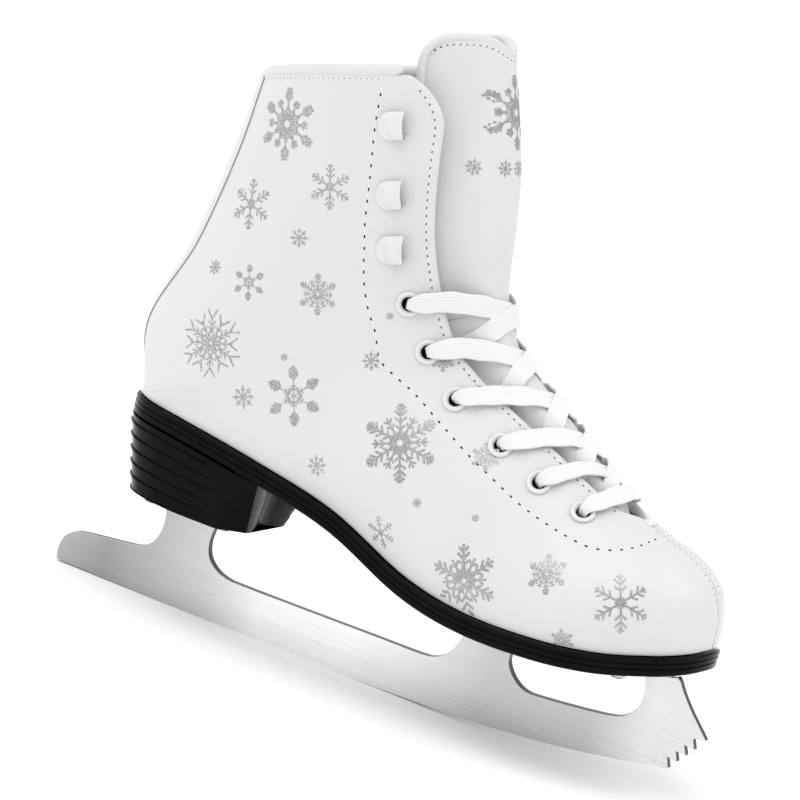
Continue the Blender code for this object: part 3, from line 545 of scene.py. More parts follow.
# painted shade: a near-black finish for the needle-hole lenses, the eyelets' barrels and the hooks'
# mouths
def painted_shade_finish():
    f = Finish("painted_hole_shade", (0.02, 0.02, 0.02), 0.9, specular=0.1)
    f.color(f.ramp(f.noise(2000.0), ((0.3, 0.012), (0.7, 0.045))))
    return f.mat


def board_finish():
    f = Finish("fibre_board", (0.5, 0.42, 0.32), 0.85, specular=0.2)
    f.color(f.ramp(f.noise(350.0, 6.0), ((0.3, (0.40, 0.33, 0.25)), (0.7, (0.56, 0.48, 0.37)))))
    f.bump(f.noise(900.0, 5.0), 0.12, 0.6)
    return f.mat


def foam_finish():
    f = Finish("footbed_cloth", (0.7, 0.7, 0.7), 0.9, specular=0.15)
    cloth = f.waves(420.0, "DIAGONAL")
    f.color(f.ramp(cloth, ((0.0, 0.62), (1.0, 0.74))))
    f.fill(f.shader, {"Sheen Weight": 0.2})
    f.bump(cloth, 0.1, 0.5)
    f.bump(f.noise(800.0), 0.1, 0.5)
    return f.mat


def floor_finish():
    f = Finish("pale_floor", (0.9, 0.9, 0.9), 0.7, specular=0.2)
    f.color(f.ramp(f.noise(3.0), ((0.3, 0.895), (0.7, 0.905))))
    f.fill(f.shader, {"Emission Color": (1.0, 1.0, 1.0, 1.0), "Emission Strength": 0.12})
    return f.mat


LEATHER = leather_finish()
FOIL = foil_finish()
RUBBER = rubber_finish()
STEEL = steel_finish("brushed_steel", 0.98)
STEEL_EDGE = steel_finish("ground_edge", 0.98, dark=True)
PLATE = steel_finish("zinc_plate", 0.5)
ENAMEL = enamel_finish()
COTTON = cotton_finish()
FLEECE = fleece_finish()
THREAD = thread_finish("white_thread", 0.8)
GREY_THREAD = thread_finish("grey_thread", 0.12)
DARK_EDGE = thread_finish("dark_strip_edge", 0.3)
PAINTED_SHADE = painted_shade_finish()
BOARD = board_finish()
FOAM = foam_finish()


def put(obj, slot, *nodes, body="skate", fill=None):
    """The piece rides on a body and stands for CAD nodes, which it hides; slot is not used.

    Without a body its transform is baked into its mesh; fill is not used.
    """
    if body:
        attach(obj, body)
    else:
        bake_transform(obj)
    if nodes:
        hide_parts(*nodes)


def piece(shape, name, mats, slot, *nodes, sharp=40.0, **more):
    put(shape.build(name, mats, sharp), slot, *nodes, **more)


# ------------------------ upper
UPPER_TOP_T = 0.86
HOLE_R = 3.5
LEATHER_DEPTH, FOLDED_DEPTH = 1.8, 4.6     # the leather's thickness, and at the facing's edge
EDGE_ROLL, THROAT_ROLL = 2.0, 0.7          # how far the edge's rounding reaches back
FOLD_V, FOLD_STEP_V = 0.085, 0.03          # the folded-in leather, and its own rounded end
DIP, DIP_BACK, DIP_SPREAD = 0.35, 5.0, 3.0     # the shallow valley behind the rolled edge
LINING_DEPTHS = (3.0, 4.5)
LINING_END_T, LINING_EDGE_V, LINING_HEEL_V = 16.2, 0.088, 0.05


def mix(a, b, share):
    return a + (b - a) * share


def stretch(t, v, far, side):
    """Millimetres of the outer face for one unit of v, between two places on section t."""
    return np.linalg.norm(skin(t, v, side) - skin(t, far, side), axis=-1) / (v - far)


def upper_rows(last, shaft, foot):
    """The rows of a layer of the upper, with their counts above and below the heel."""
    above = np.linspace(UPPER_TOP_T, T_HEEL - 0.08, shaft)
    ts = np.concatenate((above, heel_to_toe(foot)))
    return ts[ts <= last][:, None]


def eyelet_seat(i, side):
    t, y = EYELETS[i]
    v = float(v_at_y(t, y))
    return skin(t, v, side), outward(t, v, side)


def punch(obj, side):
    """Cuts the six eyelet holes through a layer of the upper."""
    holes = Shape()
    pin = [(0.0, -8.0), (HOLE_R, -8.0), (HOLE_R, 2.5), (0.0, 2.5)]
    for i in range(len(EYELETS)):
        turned(holes, *eyelet_seat(i, side), pin, 32)
    cutter = holes.build("cutter", [LEATHER])
    cut = obj.modifiers.new("holes", "BOOLEAN")
    cut.operation = "DIFFERENCE"
    cut.solver = "EXACT"
    cut.object = cutter
    bpy.context.view_layer.update()
    evaluated = obj.evaluated_get(bpy.context.evaluated_depsgraph_get())
    mesh = bpy.data.meshes.new_from_object(evaluated)
    obj.modifiers.clear()
    obj.data = mesh
    bpy.data.objects.remove(cutter)


def make_quarter(word, side):
    """One side of the upper, whose leather is folded in along the facing's edge."""
    t = upper_rows(T_TOE, 70, 120)
    edge = v_edge(t)
    arc = stretch(t, edge - 0.01, edge - 0.03, side)
    closing = smooth((t - T_THROAT + 0.5) / 0.7)
    thick = mix(FOLDED_DEPTH, LEATHER_DEPTH, closing)
    bulge = mix(EDGE_ROLL, THROAT_ROLL, closing) / np.maximum(arc, 1e-3)
    columns = np.linspace(0, 1, 60)[None, :] ** 0.85
    v = (edge - bulge) * columns
    dip = DIP * np.exp(-((edge - v) * arc - DIP_BACK) ** 2 / DIP_SPREAD) * (1 - closing)
    outer = inset(t, v, side, dip)
    turn = np.linspace(0, math.pi, 9)[None, 1:-1]
    roll = inset(t, edge - bulge * (1 - np.sin(turn)), side, thick / 2 * (1 - np.cos(turn)))
    inner_v = v[:, ::-1]
    fold = smooth((inner_v - edge + FOLD_V) / FOLD_STEP_V)
    inner = inset(t, inner_v, side, mix(LEATHER_DEPTH, thick, fold))
    # the roll's middle point is left out, so that each ring has an even number of points
    rings = np.concatenate((outer, roll[:, :3], roll[:, 4:], inner), axis=1)
    obj = tube(Shape(), rings).build(f"upper_{word}", [LEATHER], sharp=60.0)
    punch(obj, side)
    put(obj, "white_leather", f"quarter_{word}", f"eyestay_{word}")


def make_lining(word, side):
    t = upper_rows(LINING_END_T, 60, 90)
    start = LINING_HEEL_V * clip01((t - 4.75) / 0.25)
    v = mix(start, v_edge(t) - LINING_EDGE_V, np.linspace(0, 1, 44)[None, :])
    layers = (inset(t, v, side, depth) for depth in LINING_DEPTHS)
    obj = slab(Shape(), *layers).build(f"fleece_{word}", [FLEECE], sharp=60.0)
    punch(obj, side)
    put(obj, "lining_fabric", f"lining_{word}")


def side_of(column):
    """Columns run from the right (-1) to the left (1) over the middle (0)."""
    return np.where(column > 0, 1.0, -1.0)


def collar_t(v):
    """The collar roll's line, which rounds down towards the back."""
    return 0.79 + 0.14 * np.exp(-(v / 0.13) ** 2)


def strip_half(t):
    """Half the width of the strip up the back, narrower towards the heel."""
    return 0.155 - 0.115 * smooth((t - 3.1) / 1.8)


def make_backstay():
    """A strip over the seam up the back, whose faces along its two long sides are dark grey."""
    t = np.concatenate((np.linspace(0.92, 4.8, 70), np.linspace(4.83, 4.97, 5)))[:, None]
    column = np.linspace(-1, 1, 31)[None, :]
    v = np.abs(strip_half(t) * column)
    outer, inner = (inset(t, v, side_of(column), depth, seam=0.0)
                    for depth in (-0.75 + 0.2 * column ** 8, 0.25))
    shape = slab(Shape(), outer, inner)
    rows, columns = outer.shape[:2]
    # the two long side faces take the dark grey finish
    for row in range(rows - 1):
        for edge in (columns - 1, 2 * columns - 1):
            shape.kinds[row * 2 * columns + edge] = 1
    piece(shape, "backstay_strip", [LEATHER, DARK_EDGE], "white_leather", "backstay")


def oval(points, first, second, half_first, half_second, count, power=2.4):
    """Rings of a rounded section round a line of points."""
    angles = np.linspace(0, 2 * math.pi, count, endpoint=False)
    c, s = np.cos(angles), np.sin(angles)
    a = (np.sign(c) * np.abs(c) ** (2 / power))[None, :, None] * half_first
    b = (np.sign(s) * np.abs(s) ** (2 / power))[None, :, None] * half_second
    return points[:, None] + first[:, None] * a + second[:, None] * b


COLLAR_END_V, COLLAR_DEPTH, COLLAR_HALF, COLLAR_TAPER = 0.565, 2.2, (3.0, 2.7), 0.25


def make_collar():
    """The padded roll over the top edge, tapered where it tucks into the facings."""
    column = np.linspace(-1, 1, 141)
    side = side_of(column)
    v = np.abs(column) * COLLAR_END_V
    t = collar_t(v)
    centre = relaxed(inset(t, v, side, COLLAR_DEPTH, seam=0.0), 3)
    full = np.sqrt(clip01((1 - np.abs(column)) / 0.03))[:, None, None]
    halves = (mix(COLLAR_TAPER, 1.0, full) * half for half in COLLAR_HALF)
    rings = oval(centre, outward(t, v, side), tangents(t, v, side)[0], *halves, 20)
    piece(tube(Shape(), rings), "collar_roll", [LEATHER], "white_leather", "collar_binding",
          fill=0.9)


# ------------------------ tongue
LINE_T = 4.33                 # the stitched edge across the tongue
LINE_HALF_STEP_T = 0.02
HIDDEN_END_T = 12.25          # the lower panel's end, sunk under the throat
TUCK_T, TUCK_STRETCH, TUCK_DEPTH = 11.35, 0.8, 4.6
PUFF, EDGE_STEP = 0.5, 1.0    # how far the middle swells and the edges are drawn in
STEP_DEPTHS = (0.55, 0.8)     # how far the lower panel stands proud at the stitched edge


def tongue_depth(t, v):
    edge = v_gap(t)
    sink = smooth((SINK_T - np.asarray(t, float)) / SINK_STRETCH)
    wing, crest = WING_DEPTH + WING_SINK * sink, CREST_DEPTH + TOP_SINK * sink
    return mix(wing, crest, smooth((v - edge) / np.maximum(1 - edge, 1e-6) / 0.5))


def tongue_v(t, column):
    return 1 - column * (1 - v_gap(t) + TONGUE_WING_V)


def tongue_top(column):
    """The tongue's top edge, lowest at the corners and a little lower along the middle."""
    shoulder = clip01((column - 0.78) / 0.22)
    crest = np.cos(clip01(column / 0.6) * math.pi / 2) ** 2
    return 0.325 + 0.22 * crest + 0.36 * (1 - np.sqrt(1 - shoulder ** 2))


def stitched_t(column):
    return LINE_T + 0.19 * column ** 2


def tongue_grid(ts, column, extra):
    """Points of the tongue: ts and column are grids, extra is added to the depth."""
    v = tongue_v(ts, np.abs(column))
    return inset(ts, v, side_of(column) + 0 * ts, tongue_depth(ts, v) + extra, seam=0.0)


def make_tongue():
    """Shaft panel and lower panel in one padded piece."""
    column = np.linspace(-1, 1, 61)[None, :]
    a = np.abs(column)
    top, line = tongue_top(a), stitched_t(a)
    upper = np.linspace(0, 1, 46)[:, None]
    lower = np.linspace(0, 1, 60)[1:, None]
    above, below = line - LINE_HALF_STEP_T, line + LINE_HALF_STEP_T
    ts = np.concatenate((mix(top, above, upper), line + 0 * a, mix(below, HIDDEN_END_T, lower)))
    at_line, under_line = STEP_DEPTHS
    step = np.concatenate((0 * upper, [[-at_line]], under_line * (lower ** 4 - 1))) + 0 * a
    edge = EDGE_STEP * a ** 12
    tuck = TUCK_DEPTH * smooth((ts - TUCK_T) / TUCK_STRETCH)
    outer = tongue_grid(ts, column, step + edge - PUFF * (1 - a ** 4) + tuck)
    inner = tongue_grid(ts, column, TONGUE_THICK - edge + tuck)
    piece(slab(Shape(), outer, inner), "tongue_panel", [LEATHER], "white_leather",
          "tongue_upper", "tongue_lower", sharp=50.0, body=None, fill=0.8)


def make_tongue_lining():
    column = np.linspace(-0.97, 0.97, 41)[None, :]
    a = np.abs(column)
    ts = mix(tongue_top(a) + 0.02, 3.42 - 0.5 * a ** 2, np.linspace(0, 1, 40)[:, None])
    near = tongue_grid(ts, column, TONGUE_THICK + 0.25)
    far = tongue_grid(ts, column, TONGUE_THICK + 1.5 - 0.4 * a ** 10)
    piece(slab(Shape(), near, far), "tongue_fleece", [FLEECE], "lining_fabric", "tongue_lining",
          body=None)


def tongue_edge():
    """The line of the tongue's top edge, from low on its right side to low on its left."""
    down = np.linspace(0.16, 0, 18, endpoint=False)
    columns = np.concatenate((np.full(18, 1.0), np.sin(np.linspace(math.pi / 2, 0, 60))))
    t = mix(tongue_top(columns), 3.3, np.concatenate((down, np.zeros(60))))
    v = tongue_v(t, columns)
    depth = tongue_depth(t, v) + TONGUE_THICK * 0.45
    right, left = (np.hstack((inset(t, v, side, depth, seam=0.0), outward(t, v, side)))
                   for side in (-1.0, 1.0))
    both, _ = resample(np.vstack((right, left[-2::-1])), 1.2)
    both = relaxed(both, 6)
    return both[:, :3], unit(both[:, 3:])


BINDING_BEYOND, BINDING_HALF = 0.9, (2.35, 1.9)


def make_tongue_binding():
    line, normal = tongue_edge()
    ahead = unit(np.gradient(line, axis=0))
    beyond = unit(np.cross(ahead, normal))
    if beyond[len(line) // 2][2] < 0:
        beyond = -beyond
    rings = oval(line + beyond * BINDING_BEYOND, normal, beyond, *BINDING_HALF, 16)
    piece(tube(Shape(), rings), "tongue_edge_binding", [LEATHER], "white_leather",
          "tongue_binding", body="tongue", fill=0.9)


# ------------------------ stitches
THREAD_SINK, NEEDLE_SINK, NEEDLE_HEIGHT = 0.12, 0.02, 0.09


def capsule(shape, centre, along, normal, half_length, half_width, half_height, kind):
    """A small lens or thread, with its own material number."""
    along, normal = unit(along), unit(normal)
    across = np.cross(normal, along)
    turns = np.linspace(0, 2 * math.pi, 8, endpoint=False)
    places = np.array((-1.0, -0.86, -0.45, 0.0, 0.45, 0.86, 1.0))
    girth = np.sqrt(np.maximum(1 - places ** 4, 0.0)) + 0.02
    rings = (centre + places[:, None, None] * along * half_length
             + girth[:, None, None] * (across * (half_width * np.cos(turns))[:, None]
                                       + normal * (half_height * np.sin(turns))[:, None])[None])
    tube(shape, rings, kind)


def stitch_line(shape, t, v, side, depth, pitch, hole, thread=(0.34, 0.3), seam=SEAM_HALF):
    """Threads along places t, v at a depth, with a needle hole between each two, drawn as a dark
    lens of painted shade.

    A hole has a half-length and a half-width, a thread a half-width and a half-height.
    """
    both = np.hstack((inset(t, v, side, depth, seam), outward(t, v, side)))
    both, _ = resample(both, pitch / 2)
    line, normal = both[:, :3], unit(both[:, 3:])
    ahead = unit(np.gradient(line, axis=0))
    for i in range(1, len(line) - 1):
        if i % 2:
            capsule(shape, line[i] - normal[i] * THREAD_SINK, ahead[i], normal[i],
                    pitch / 2 - hole[0] * 0.9, *thread, 0)
        else:
            # painted shade: the needle hole is a dark lens on the surface
            capsule(shape, line[i] - normal[i] * NEEDLE_SINK, ahead[i], normal[i], *hole,
                    NEEDLE_HEIGHT, 1)


# places t, v that the curved seam over the side of the foot runs through
FACING_SEAM = ((0.97, 0.524), (1.75, 0.527), (2.66, 0.563), (3.26, 0.598), (4.1, 0.649),
               (4.87, 0.676), (6.9, 0.686), (8.6, 0.670), (9.5, 0.665), (10.35, 0.673),
               (11.15, 0.690), (12.0, 0.709), (12.4, 0.722), (12.7, 0.748), (12.93, 0.788),
               (13.1, 0.847), (13.15, 0.945))
FRONT_SEAM_BACK = 3.6         # from the rolled edge to the stitches beside it
TOE_SEAM_Y = 2.6              # from the centre line to the stitches on the toe
COLLAR_SEAM_DOWN, STRIP_SEAM_IN = 0.125, 0.02


def make_stitches(word, side):
    t, v = rounded(FACING_SEAM, 8).T
    shape = Shape()
    stitch_line(shape, t, v, side, 0.0, 4.7, (0.72, 0.38))
    piece(shape, f"facing_seam_{word}", [THREAD, PAINTED_SHADE], "white_leather")
    shape = Shape()
    t = np.linspace(1.0, 12.05, 160)
    edge = v_edge(t)
    v = edge - FRONT_SEAM_BACK / stretch(t, edge, edge - 0.03, side)
    stitch_line(shape, t, v, side, 0.12, 3.2, (0.55, 0.22))
    t = np.linspace(12.75, 16.6, 90)
    stitch_line(shape, t, v_at_y(t, TOE_SEAM_Y), side, 0.0, 2.8, (0.3, 0.24))
    v = np.linspace(0.17, 0.52, 80)
    stitch_line(shape, collar_t(v) + COLLAR_SEAM_DOWN, v, side, 0.0, 2.4, (0.35, 0.13))
    t = np.linspace(1.08, 4.7, 90)
    stitch_line(shape, t, strip_half(t) - STRIP_SEAM_IN, side, -0.62, 3.0, (0.4, 0.15))
    piece(shape, f"edge_stitches_{word}", [THREAD, PAINTED_SHADE], "white_leather")


def make_bar_tack():
    """The close stitches that stop the throat from tearing."""
    shape = Shape()
    for t in np.linspace(12.5, 12.68, 6):
        line = [skin(t, v_at_y(t, abs(y)), math.copysign(1.0, y)) for y in (-4, -2, 2, 4)]
        normal = outward(t, 0.97, 1.0)
        line = rounded(np.array(line) + normal * 0.25, 4)
        normals, downs = (np.tile(a, (len(line), 1)) for a in (normal, tangents(t, 0.97, 1.0)[0]))
        tube(shape, oval(line, normals, downs, 0.35, 0.35, 8, 2.0))
    piece(shape, "throat_bar_tack", [THREAD], "white_leather")


def across_stitches(a_most, count, line, rise, *look):
    """Stitches over the front of the tongue: line gives t, rise the height over its middle."""
    column = np.linspace(-a_most, a_most, count)
    a = np.abs(column)
    t = line(a)
    v = tongue_v(t, a)
    shape = Shape()
    stitch_line(shape, t, v, side_of(column), tongue_depth(t, v) - rise(a), *look, seam=0.0)
    return shape


def make_tongue_stitches():
    """Dark overlocking along the stitched edge, and the line under the top binding."""
    overlock = across_stitches(0.8, 120, lambda a: stitched_t(a) + 0.004, lambda a: 0.8,
                               2.0, (0.8, 0.34), (0.35, 0.3))
    piece(overlock, "tongue_overlock", [GREY_THREAD, PAINTED_SHADE], "white_leather", body=None)
    top_line = across_stitches(0.96, 140, lambda a: tongue_top(a) + 0.075,
                               lambda a: PUFF * (1 - a ** 4), 2.6, (0.5, 0.2))
    piece(top_line, "tongue_edge_stitches", [THREAD, PAINTED_SHADE], "white_leather", body="tongue")


# ------------------------ silver snowflakes
def mirrored(strokes):
    return strokes + [(x0, -y0, x1, -y1, w) for x0, y0, x1, y1, w in strokes if y0 or y1]


def arm(first, last, width, twigs=()):
    """A stem along x with pairs of twigs: place, length, angle in degrees, width."""
    strokes = [(first, 0.0, last, 0.0, width)]
    for place, length, angle, thin in twigs:
        a = math.radians(angle)
        strokes.append((place, 0.0, place + length * math.cos(a), length * math.sin(a), thin))
    return mirrored(strokes)


def petal(first, last, half, width):
    """A narrow lozenge along x."""
    middle = (first + last) / 2
    return mirrored([(first, 0.0, middle, half, width), (middle, half, last, 0.0, width)])


# each design: how many arms, the strokes of an arm, and those of the half-turned arms between
DESIGNS = {
    "ornate": (6, arm(0.1, 0.97, 0.05, ((0.62, 0.2, 42, 0.07), (0.74, 0.18, 42, 0.07),
                                        (0.86, 0.14, 40, 0.06)))
               + petal(0.14, 0.5, 0.09, 0.045),
               arm(0.1, 0.7, 0.045, ((0.5, 0.15, 45, 0.06), (0.6, 0.12, 45, 0.06)))
               + petal(0.14, 0.46, 0.08, 0.045)),
    "classic": (6, arm(0.05, 0.98, 0.07, ((0.38, 0.26, 48, 0.065), (0.62, 0.27, 48, 0.065),
                                          (0.82, 0.15, 45, 0.06))),
                arm(0.02, 0.2, 0.07)),
    "dense": (6, arm(0.1, 0.99, 0.055, ((0.34, 0.16, 50, 0.05), (0.52, 0.2, 50, 0.055),
                                        (0.68, 0.21, 48, 0.06), (0.8, 0.17, 45, 0.06),
                                        (0.9, 0.1, 42, 0.055))) + petal(0.08, 0.36, 0.06, 0.04),
              arm(0.12, 0.72, 0.045, ((0.42, 0.14, 48, 0.05), (0.56, 0.15, 45, 0.05)))
              + petal(0.1, 0.34, 0.05, 0.04)),
    "branched": (6, arm(0.3, 0.8, 0.045, ((0.36, 0.2, 38, 0.045), (0.52, 0.2, 40, 0.045),
                                          (0.74, 0.34, 32, 0.05))) + petal(0.06, 0.44, 0.1, 0.04),
                 arm(0.32, 0.74, 0.045, ((0.42, 0.16, 40, 0.045), (0.62, 0.34, 34, 0.05)))
                 + petal(0.06, 0.36, 0.08, 0.04)),
    "leafy": (6, arm(0.0, 0.98, 0.03, ((0.56, 0.24, 46, 0.075), (0.69, 0.22, 46, 0.075),
                                       (0.82, 0.15, 46, 0.07), (0.3, 0.1, 62, 0.04)))
              + petal(0.84, 1.0, 0.05, 0.06),
              [(0.2, -0.1, 0.2, 0.1, 0.045), (0.2, 0.1, 0.3, 0.0, 0.04),
               (0.2, -0.1, 0.3, 0.0, 0.04)]),
    "bold": (6, arm(0.06, 0.98, 0.075, ((0.4, 0.2, 46, 0.07), (0.58, 0.24, 46, 0.075),
                                        (0.76, 0.2, 44, 0.075))) + petal(0.1, 0.42, 0.07, 0.055),
             arm(0.06, 0.66, 0.06, ((0.44, 0.18, 46, 0.06),)) + petal(0.1, 0.38, 0.06, 0.05)),
    "aster": (8, arm(0.0, 0.98, 0.13, ((0.52, 0.26, 40, 0.12),)), []),
}

# t, v, radius, turn from the boot's own up direction in degrees, design
FLAKES = (
    (1.59, 0.315, 14.8, 16, "ornate"), (2.59, 0.302, 10.4, 25, "classic"),
    (2.37, 0.471, 9.2, 24, "classic"), (3.00, 0.462, 4.0, 31, "aster"),
    (3.36, 0.302, 3.2, 36, "aster"), (3.58, 0.424, 7.2, 38, "leafy"),
    (3.80, 0.558, 8.4, 30, "dense"), (4.44, 0.424, 13.2, 24, "branched"),
    (4.79, 0.547, 1.6, 14, "aster"), (5.15, 0.667, 4.0, -12, "aster"),
    (7.08, 0.524, 12.0, -61, "leafy"), (6.97, 0.461, 4.8, -64, "aster"),
    (4.24, 0.687, 1.6, 13, "aster"), (8.99, 0.577, 16.0, -48, "dense"),
    (9.26, 0.343, 4.4, -52, "aster"), (10.44, 0.271, 6.8, -44, "classic"),
    (5.49, 0.775, 4.8, -29, "dense"), (9.60, 0.692, 6.0, -42, "dense"),
    (10.20, 0.509, 2.0, -45, "aster"), (10.70, 0.583, 1.6, -45, "aster"),
    (11.56, 0.434, 14.8, -61, "bold"), (12.34, 0.579, 8.4, -63, "dense"),
    (13.91, 0.573, 11.6, -74, "classic"), (13.45, 0.134, 4.8, -77, "dense"),
)
STROKE_STEP, THINNEST_STROKE = 1.5, 0.13
FOIL_HEIGHT, FOIL_ROOT = 0.07, 0.12
STROKE_LIFT = 0.002           # how much higher each next stroke lies, so that none coincide
TONGUE_ROW_T, TONGUE_ROW_R = 2.1, 3.4


def folded(v, side):
    """A place past the centre line (v over 1) belongs to the other side."""
    return np.where(v > 1, 2 - v, v), np.where(v > 1, -side, side)


def pressed(t0, v0, side, axes, offsets, depth_at):
    """Places t, v of the surface whose offsets from t0, v0 along two axes are those given."""
    centre = inset(t0, v0, side, depth_at(t0, v0), seam=0.0)

    def off(t, v):
        over, s = folded(v, side)
        return (inset(t, over, s, depth_at(t, over), seam=0.0) - centre) @ np.transpose(axes)
    t, v = np.full(len(offsets), t0), np.full(len(offsets), v0)
    h = 1e-3
    for _ in range(7):
        here = off(t, v)
        by_t, by_v = (off(t + h, v) - here) / h, (off(t, v + h) - here) / h
        miss = offsets - here
        det = by_t[:, 0] * by_v[:, 1] - by_t[:, 1] * by_v[:, 0]
        det = np.where(np.abs(det) < 1e-6, 1e-6, det)
        dt = (miss[:, 0] * by_v[:, 1] - miss[:, 1] * by_v[:, 0]) / det
        dv = (by_t[:, 0] * miss[:, 1] - by_t[:, 1] * miss[:, 0]) / det
        t = np.clip(t + np.clip(dt, -0.4, 0.4), 0.3, 16.9)
        v = np.clip(v + np.clip(dv, -0.08, 0.08), 0.0, 1.4)
    return t, v


def flake_strokes(design):
    count, main, between = DESIGNS[design]
    strokes = []
    for k in range(count):
        for turn, lines in ((2 * math.pi * k / count, main),
                            (2 * math.pi * (k + 0.5) / count, between)):
            c, s = math.cos(turn), math.sin(turn)
            strokes += [(c * x0 - s * y0, s * x0 + c * y0, c * x1 - s * y1, s * x1 + c * y1, w)
                        for x0, y0, x1, y1, w in lines]
    return strokes


def add_flake(shape, t0, v0, side, radius, turn, design, depth_at=lambda t, v: 0 * t,
              lowest=0.0):
    """Foil strokes pressed onto the surface, each as a ribbon with a grid of its own."""
    normal = outward(t0, v0, side)
    up = -tangents(t0, v0, side)[0]
    right = np.cross(up, normal)
    a = math.radians(turn) * side
    first = up * math.cos(a) + right * math.sin(a)
    second = np.cross(normal, first)
    strokes = radius * np.array(flake_strokes(design))
    offsets, counts = [], []
    for x0, y0, x1, y1, width in strokes:
        start, end = np.array((x0, y0)), np.array((x1, y1))
        along = unit(end - start)
        across = np.array((-along[1], along[0])) * max(width / 2, THINNEST_STROKE)
        counts.append(max(int(np.linalg.norm(end - start) / STROKE_STEP) + 1, 2))
        middle = start + (end - start) * np.linspace(0, 1, counts[-1])[:, None]
        offsets += [middle - across, middle + across]
    t, v = pressed(t0, v0, side, (first, second), np.concatenate(offsets), depth_at)
    over, s = folded(v, side)
    lift = np.repeat(STROKE_LIFT * (np.arange(len(counts)) % 30), 2 * np.array(counts))
    base = depth_at(t, over)
    top = inset(t, over, s, base - FOIL_HEIGHT - lift, seam=0.0)
    low = inset(t, over, s, base + FOIL_ROOT, seam=0.0)
    at = 0
    for count in counts:
        left, right = slice(at, at + count), slice(at + count, at + 2 * count)
        at += 2 * count
        if over[left.start:right.stop].min() >= lowest:
            tube(shape, np.stack((top[left], top[right], low[right], low[left]), axis=1))


def make_snowflakes(word, side):
    shape = Shape()
    for t, v, radius, turn, design in FLAKES:
        add_flake(shape, t, v, side, radius, turn, design, lowest=0.012)
    piece(shape, f"snowflakes_{word}", [FOIL], "white_leather")


def make_tongue_flakes():
    """A generic snowflake with a row of small ones under it, on the front of the tongue."""
    def depth(t, v):
        return tongue_depth(t, v) - PUFF
    shape = Shape()
    add_flake(shape, 1.35, 0.985, -1, 15.0, 0, "ornate", depth)
    row = [(float(v_at_y(TONGUE_ROW_T, abs(y))), math.copysign(1, y)) for y in (-20, -10, 10, 20)]
    for v, side in row + [(0.99, -1)]:
        add_flake(shape, TONGUE_ROW_T, v, side, TONGUE_ROW_R, 0, "aster", depth)
    piece(shape, "tongue_snowflakes", [FOIL], "white_leather", body="tongue")


# ------------------------ sole, heel and footbed
# height under the upper's edge, and how far out the sole's side stands there
SOLE_EDGE = ((0.0, 0.9), (-0.25, 1.6), (-0.8, 1.95), (-2.1, 1.95), (-2.35, 1.45), (-2.65, 1.45),
             (-2.9, 1.85), (-4.3, 1.85), (-4.55, 1.35), (-4.85, 1.35), (-5.1, 1.8), (-7.2, 1.75),
             (-7.75, 1.3), (-8.0, 0.6))


def make_outsole():
    """Rings of the rim at each level, three moulded layers with fine grooves between them."""
    def loop(level, out):
        right, left = sole_rim(SOLE_TS, -1, out), sole_rim(SOLE_TS, 1, out)
        ring = np.concatenate((right, left[::-1]))
        ring[:, 2] += level - LAYER_GAP
        return ring
    rings = np.array([loop(level, out) for level, out in SOLE_EDGE])
    piece(tube(Shape(), rings), "moulded_sole", [RUBBER], "black_sole", "outsole", sharp=28.0)


HEEL_GROOVES = (0.18, 0.36, 0.54, 0.72, 0.9)
GROOVE_DEPTH, GROOVE_END_X = 0.7, -27.5


def heel_ring(level):
    """The heel's outline at a share of its height, as x, y, z points round from the back."""
    t = T_HEEL + 2.7 * np.linspace(0, 1, 26) ** 1.6
    rim = sole_rim(t, 1.0, WELT - GAP)
    high, low = rim[:, :2].copy(), rim[:, :2].copy()
    low[:, 0] = -43.5 + (rim[:, 0] + 47.0) * 0.86
    low[:, 1] *= 0.95
    low_front = ((-44.0, 28.6), (-38.5, 29.0), (-33.0, 29.2), (-28.0, 29.45), (-22.4, 29.5),
                 (-21.3, 29.0), (-12.9, 18.0), (-12.6, 14.0), (-14.4, 6.0), (-15.4, 0.0))
    high_front = ((-44.0, 30.0), (-37.0, 30.2), (-31.0, 30.3), (-26.0, 30.25), (-19.8, 30.2),
                  (-18.6, 29.9), (-9.4, 27.4), (-9.2, 20.0), (-12.2, 8.0), (-14.0, 0.0))
    high, low = np.vstack((high, high_front)), np.vstack((low, low_front))
    xy = low + (high - low) * level
    top = sole_top(xy[:, 0]) - SOLE_THICK - LAYER_GAP
    z = HEEL_BASE_Z + level * (top - HEEL_BASE_Z)
    return np.column_stack((xy, z))


def pulled_in(half, amount, drop):
    """The outline drawn in by an amount, only behind the grooves' front end."""
    ahead = np.gradient(half[:, :2], axis=0)
    ahead[0] = (0.0, 1.0)
    normal = unit(np.column_stack((-ahead[:, 1], ahead[:, 0])))
    share = clip01((GROOVE_END_X - half[:, 0]) / 2.0)[:, None]
    moved = half.copy()
    moved[:, :2] -= normal * amount * share
    moved[:, 2] += drop
    return moved


def make_heel():
    levels = [(0.0, -0.6, 0.0), (0.0, 0.0, 0.5)]
    for level in HEEL_GROOVES:
        levels += [(level, 0.0, -0.55), (level, -GROOVE_DEPTH, -0.2),
                   (level, -GROOVE_DEPTH, 0.15), (level, 0.0, 0.4)]
    levels += [(1.0, 0.0, 0.0)]
    rings = []
    for level, out, drop in levels:
        half = pulled_in(heel_ring(level), out, drop)
        rings.append(np.vstack((half, half[-2:0:-1] * (1, -1, 1))))
    rings = np.array(rings)
    # the loop runs over the left side and back over the right, from the back's middle point
    shape = Shape()
    rows, columns = rings.shape[:2]
    faces = grid_faces(rows, columns, around=True)
    for first in (0, (rows - 1) * columns):
        for j in range(1, columns // 2):
            a, b = first + j, first + (columns - j) % columns
            c, d = first + j + 1, first + columns - j - 1
            if c == d:
                faces.append((a, c, b))
            elif c < d:
                faces.append((a, c, d, b))
        faces.append((first, first + 1, first + columns - 1))
    shape.add(rings, faces)
    piece(shape, "stacked_heel", [RUBBER], "black_sole", "heel_block", sharp=24.0)


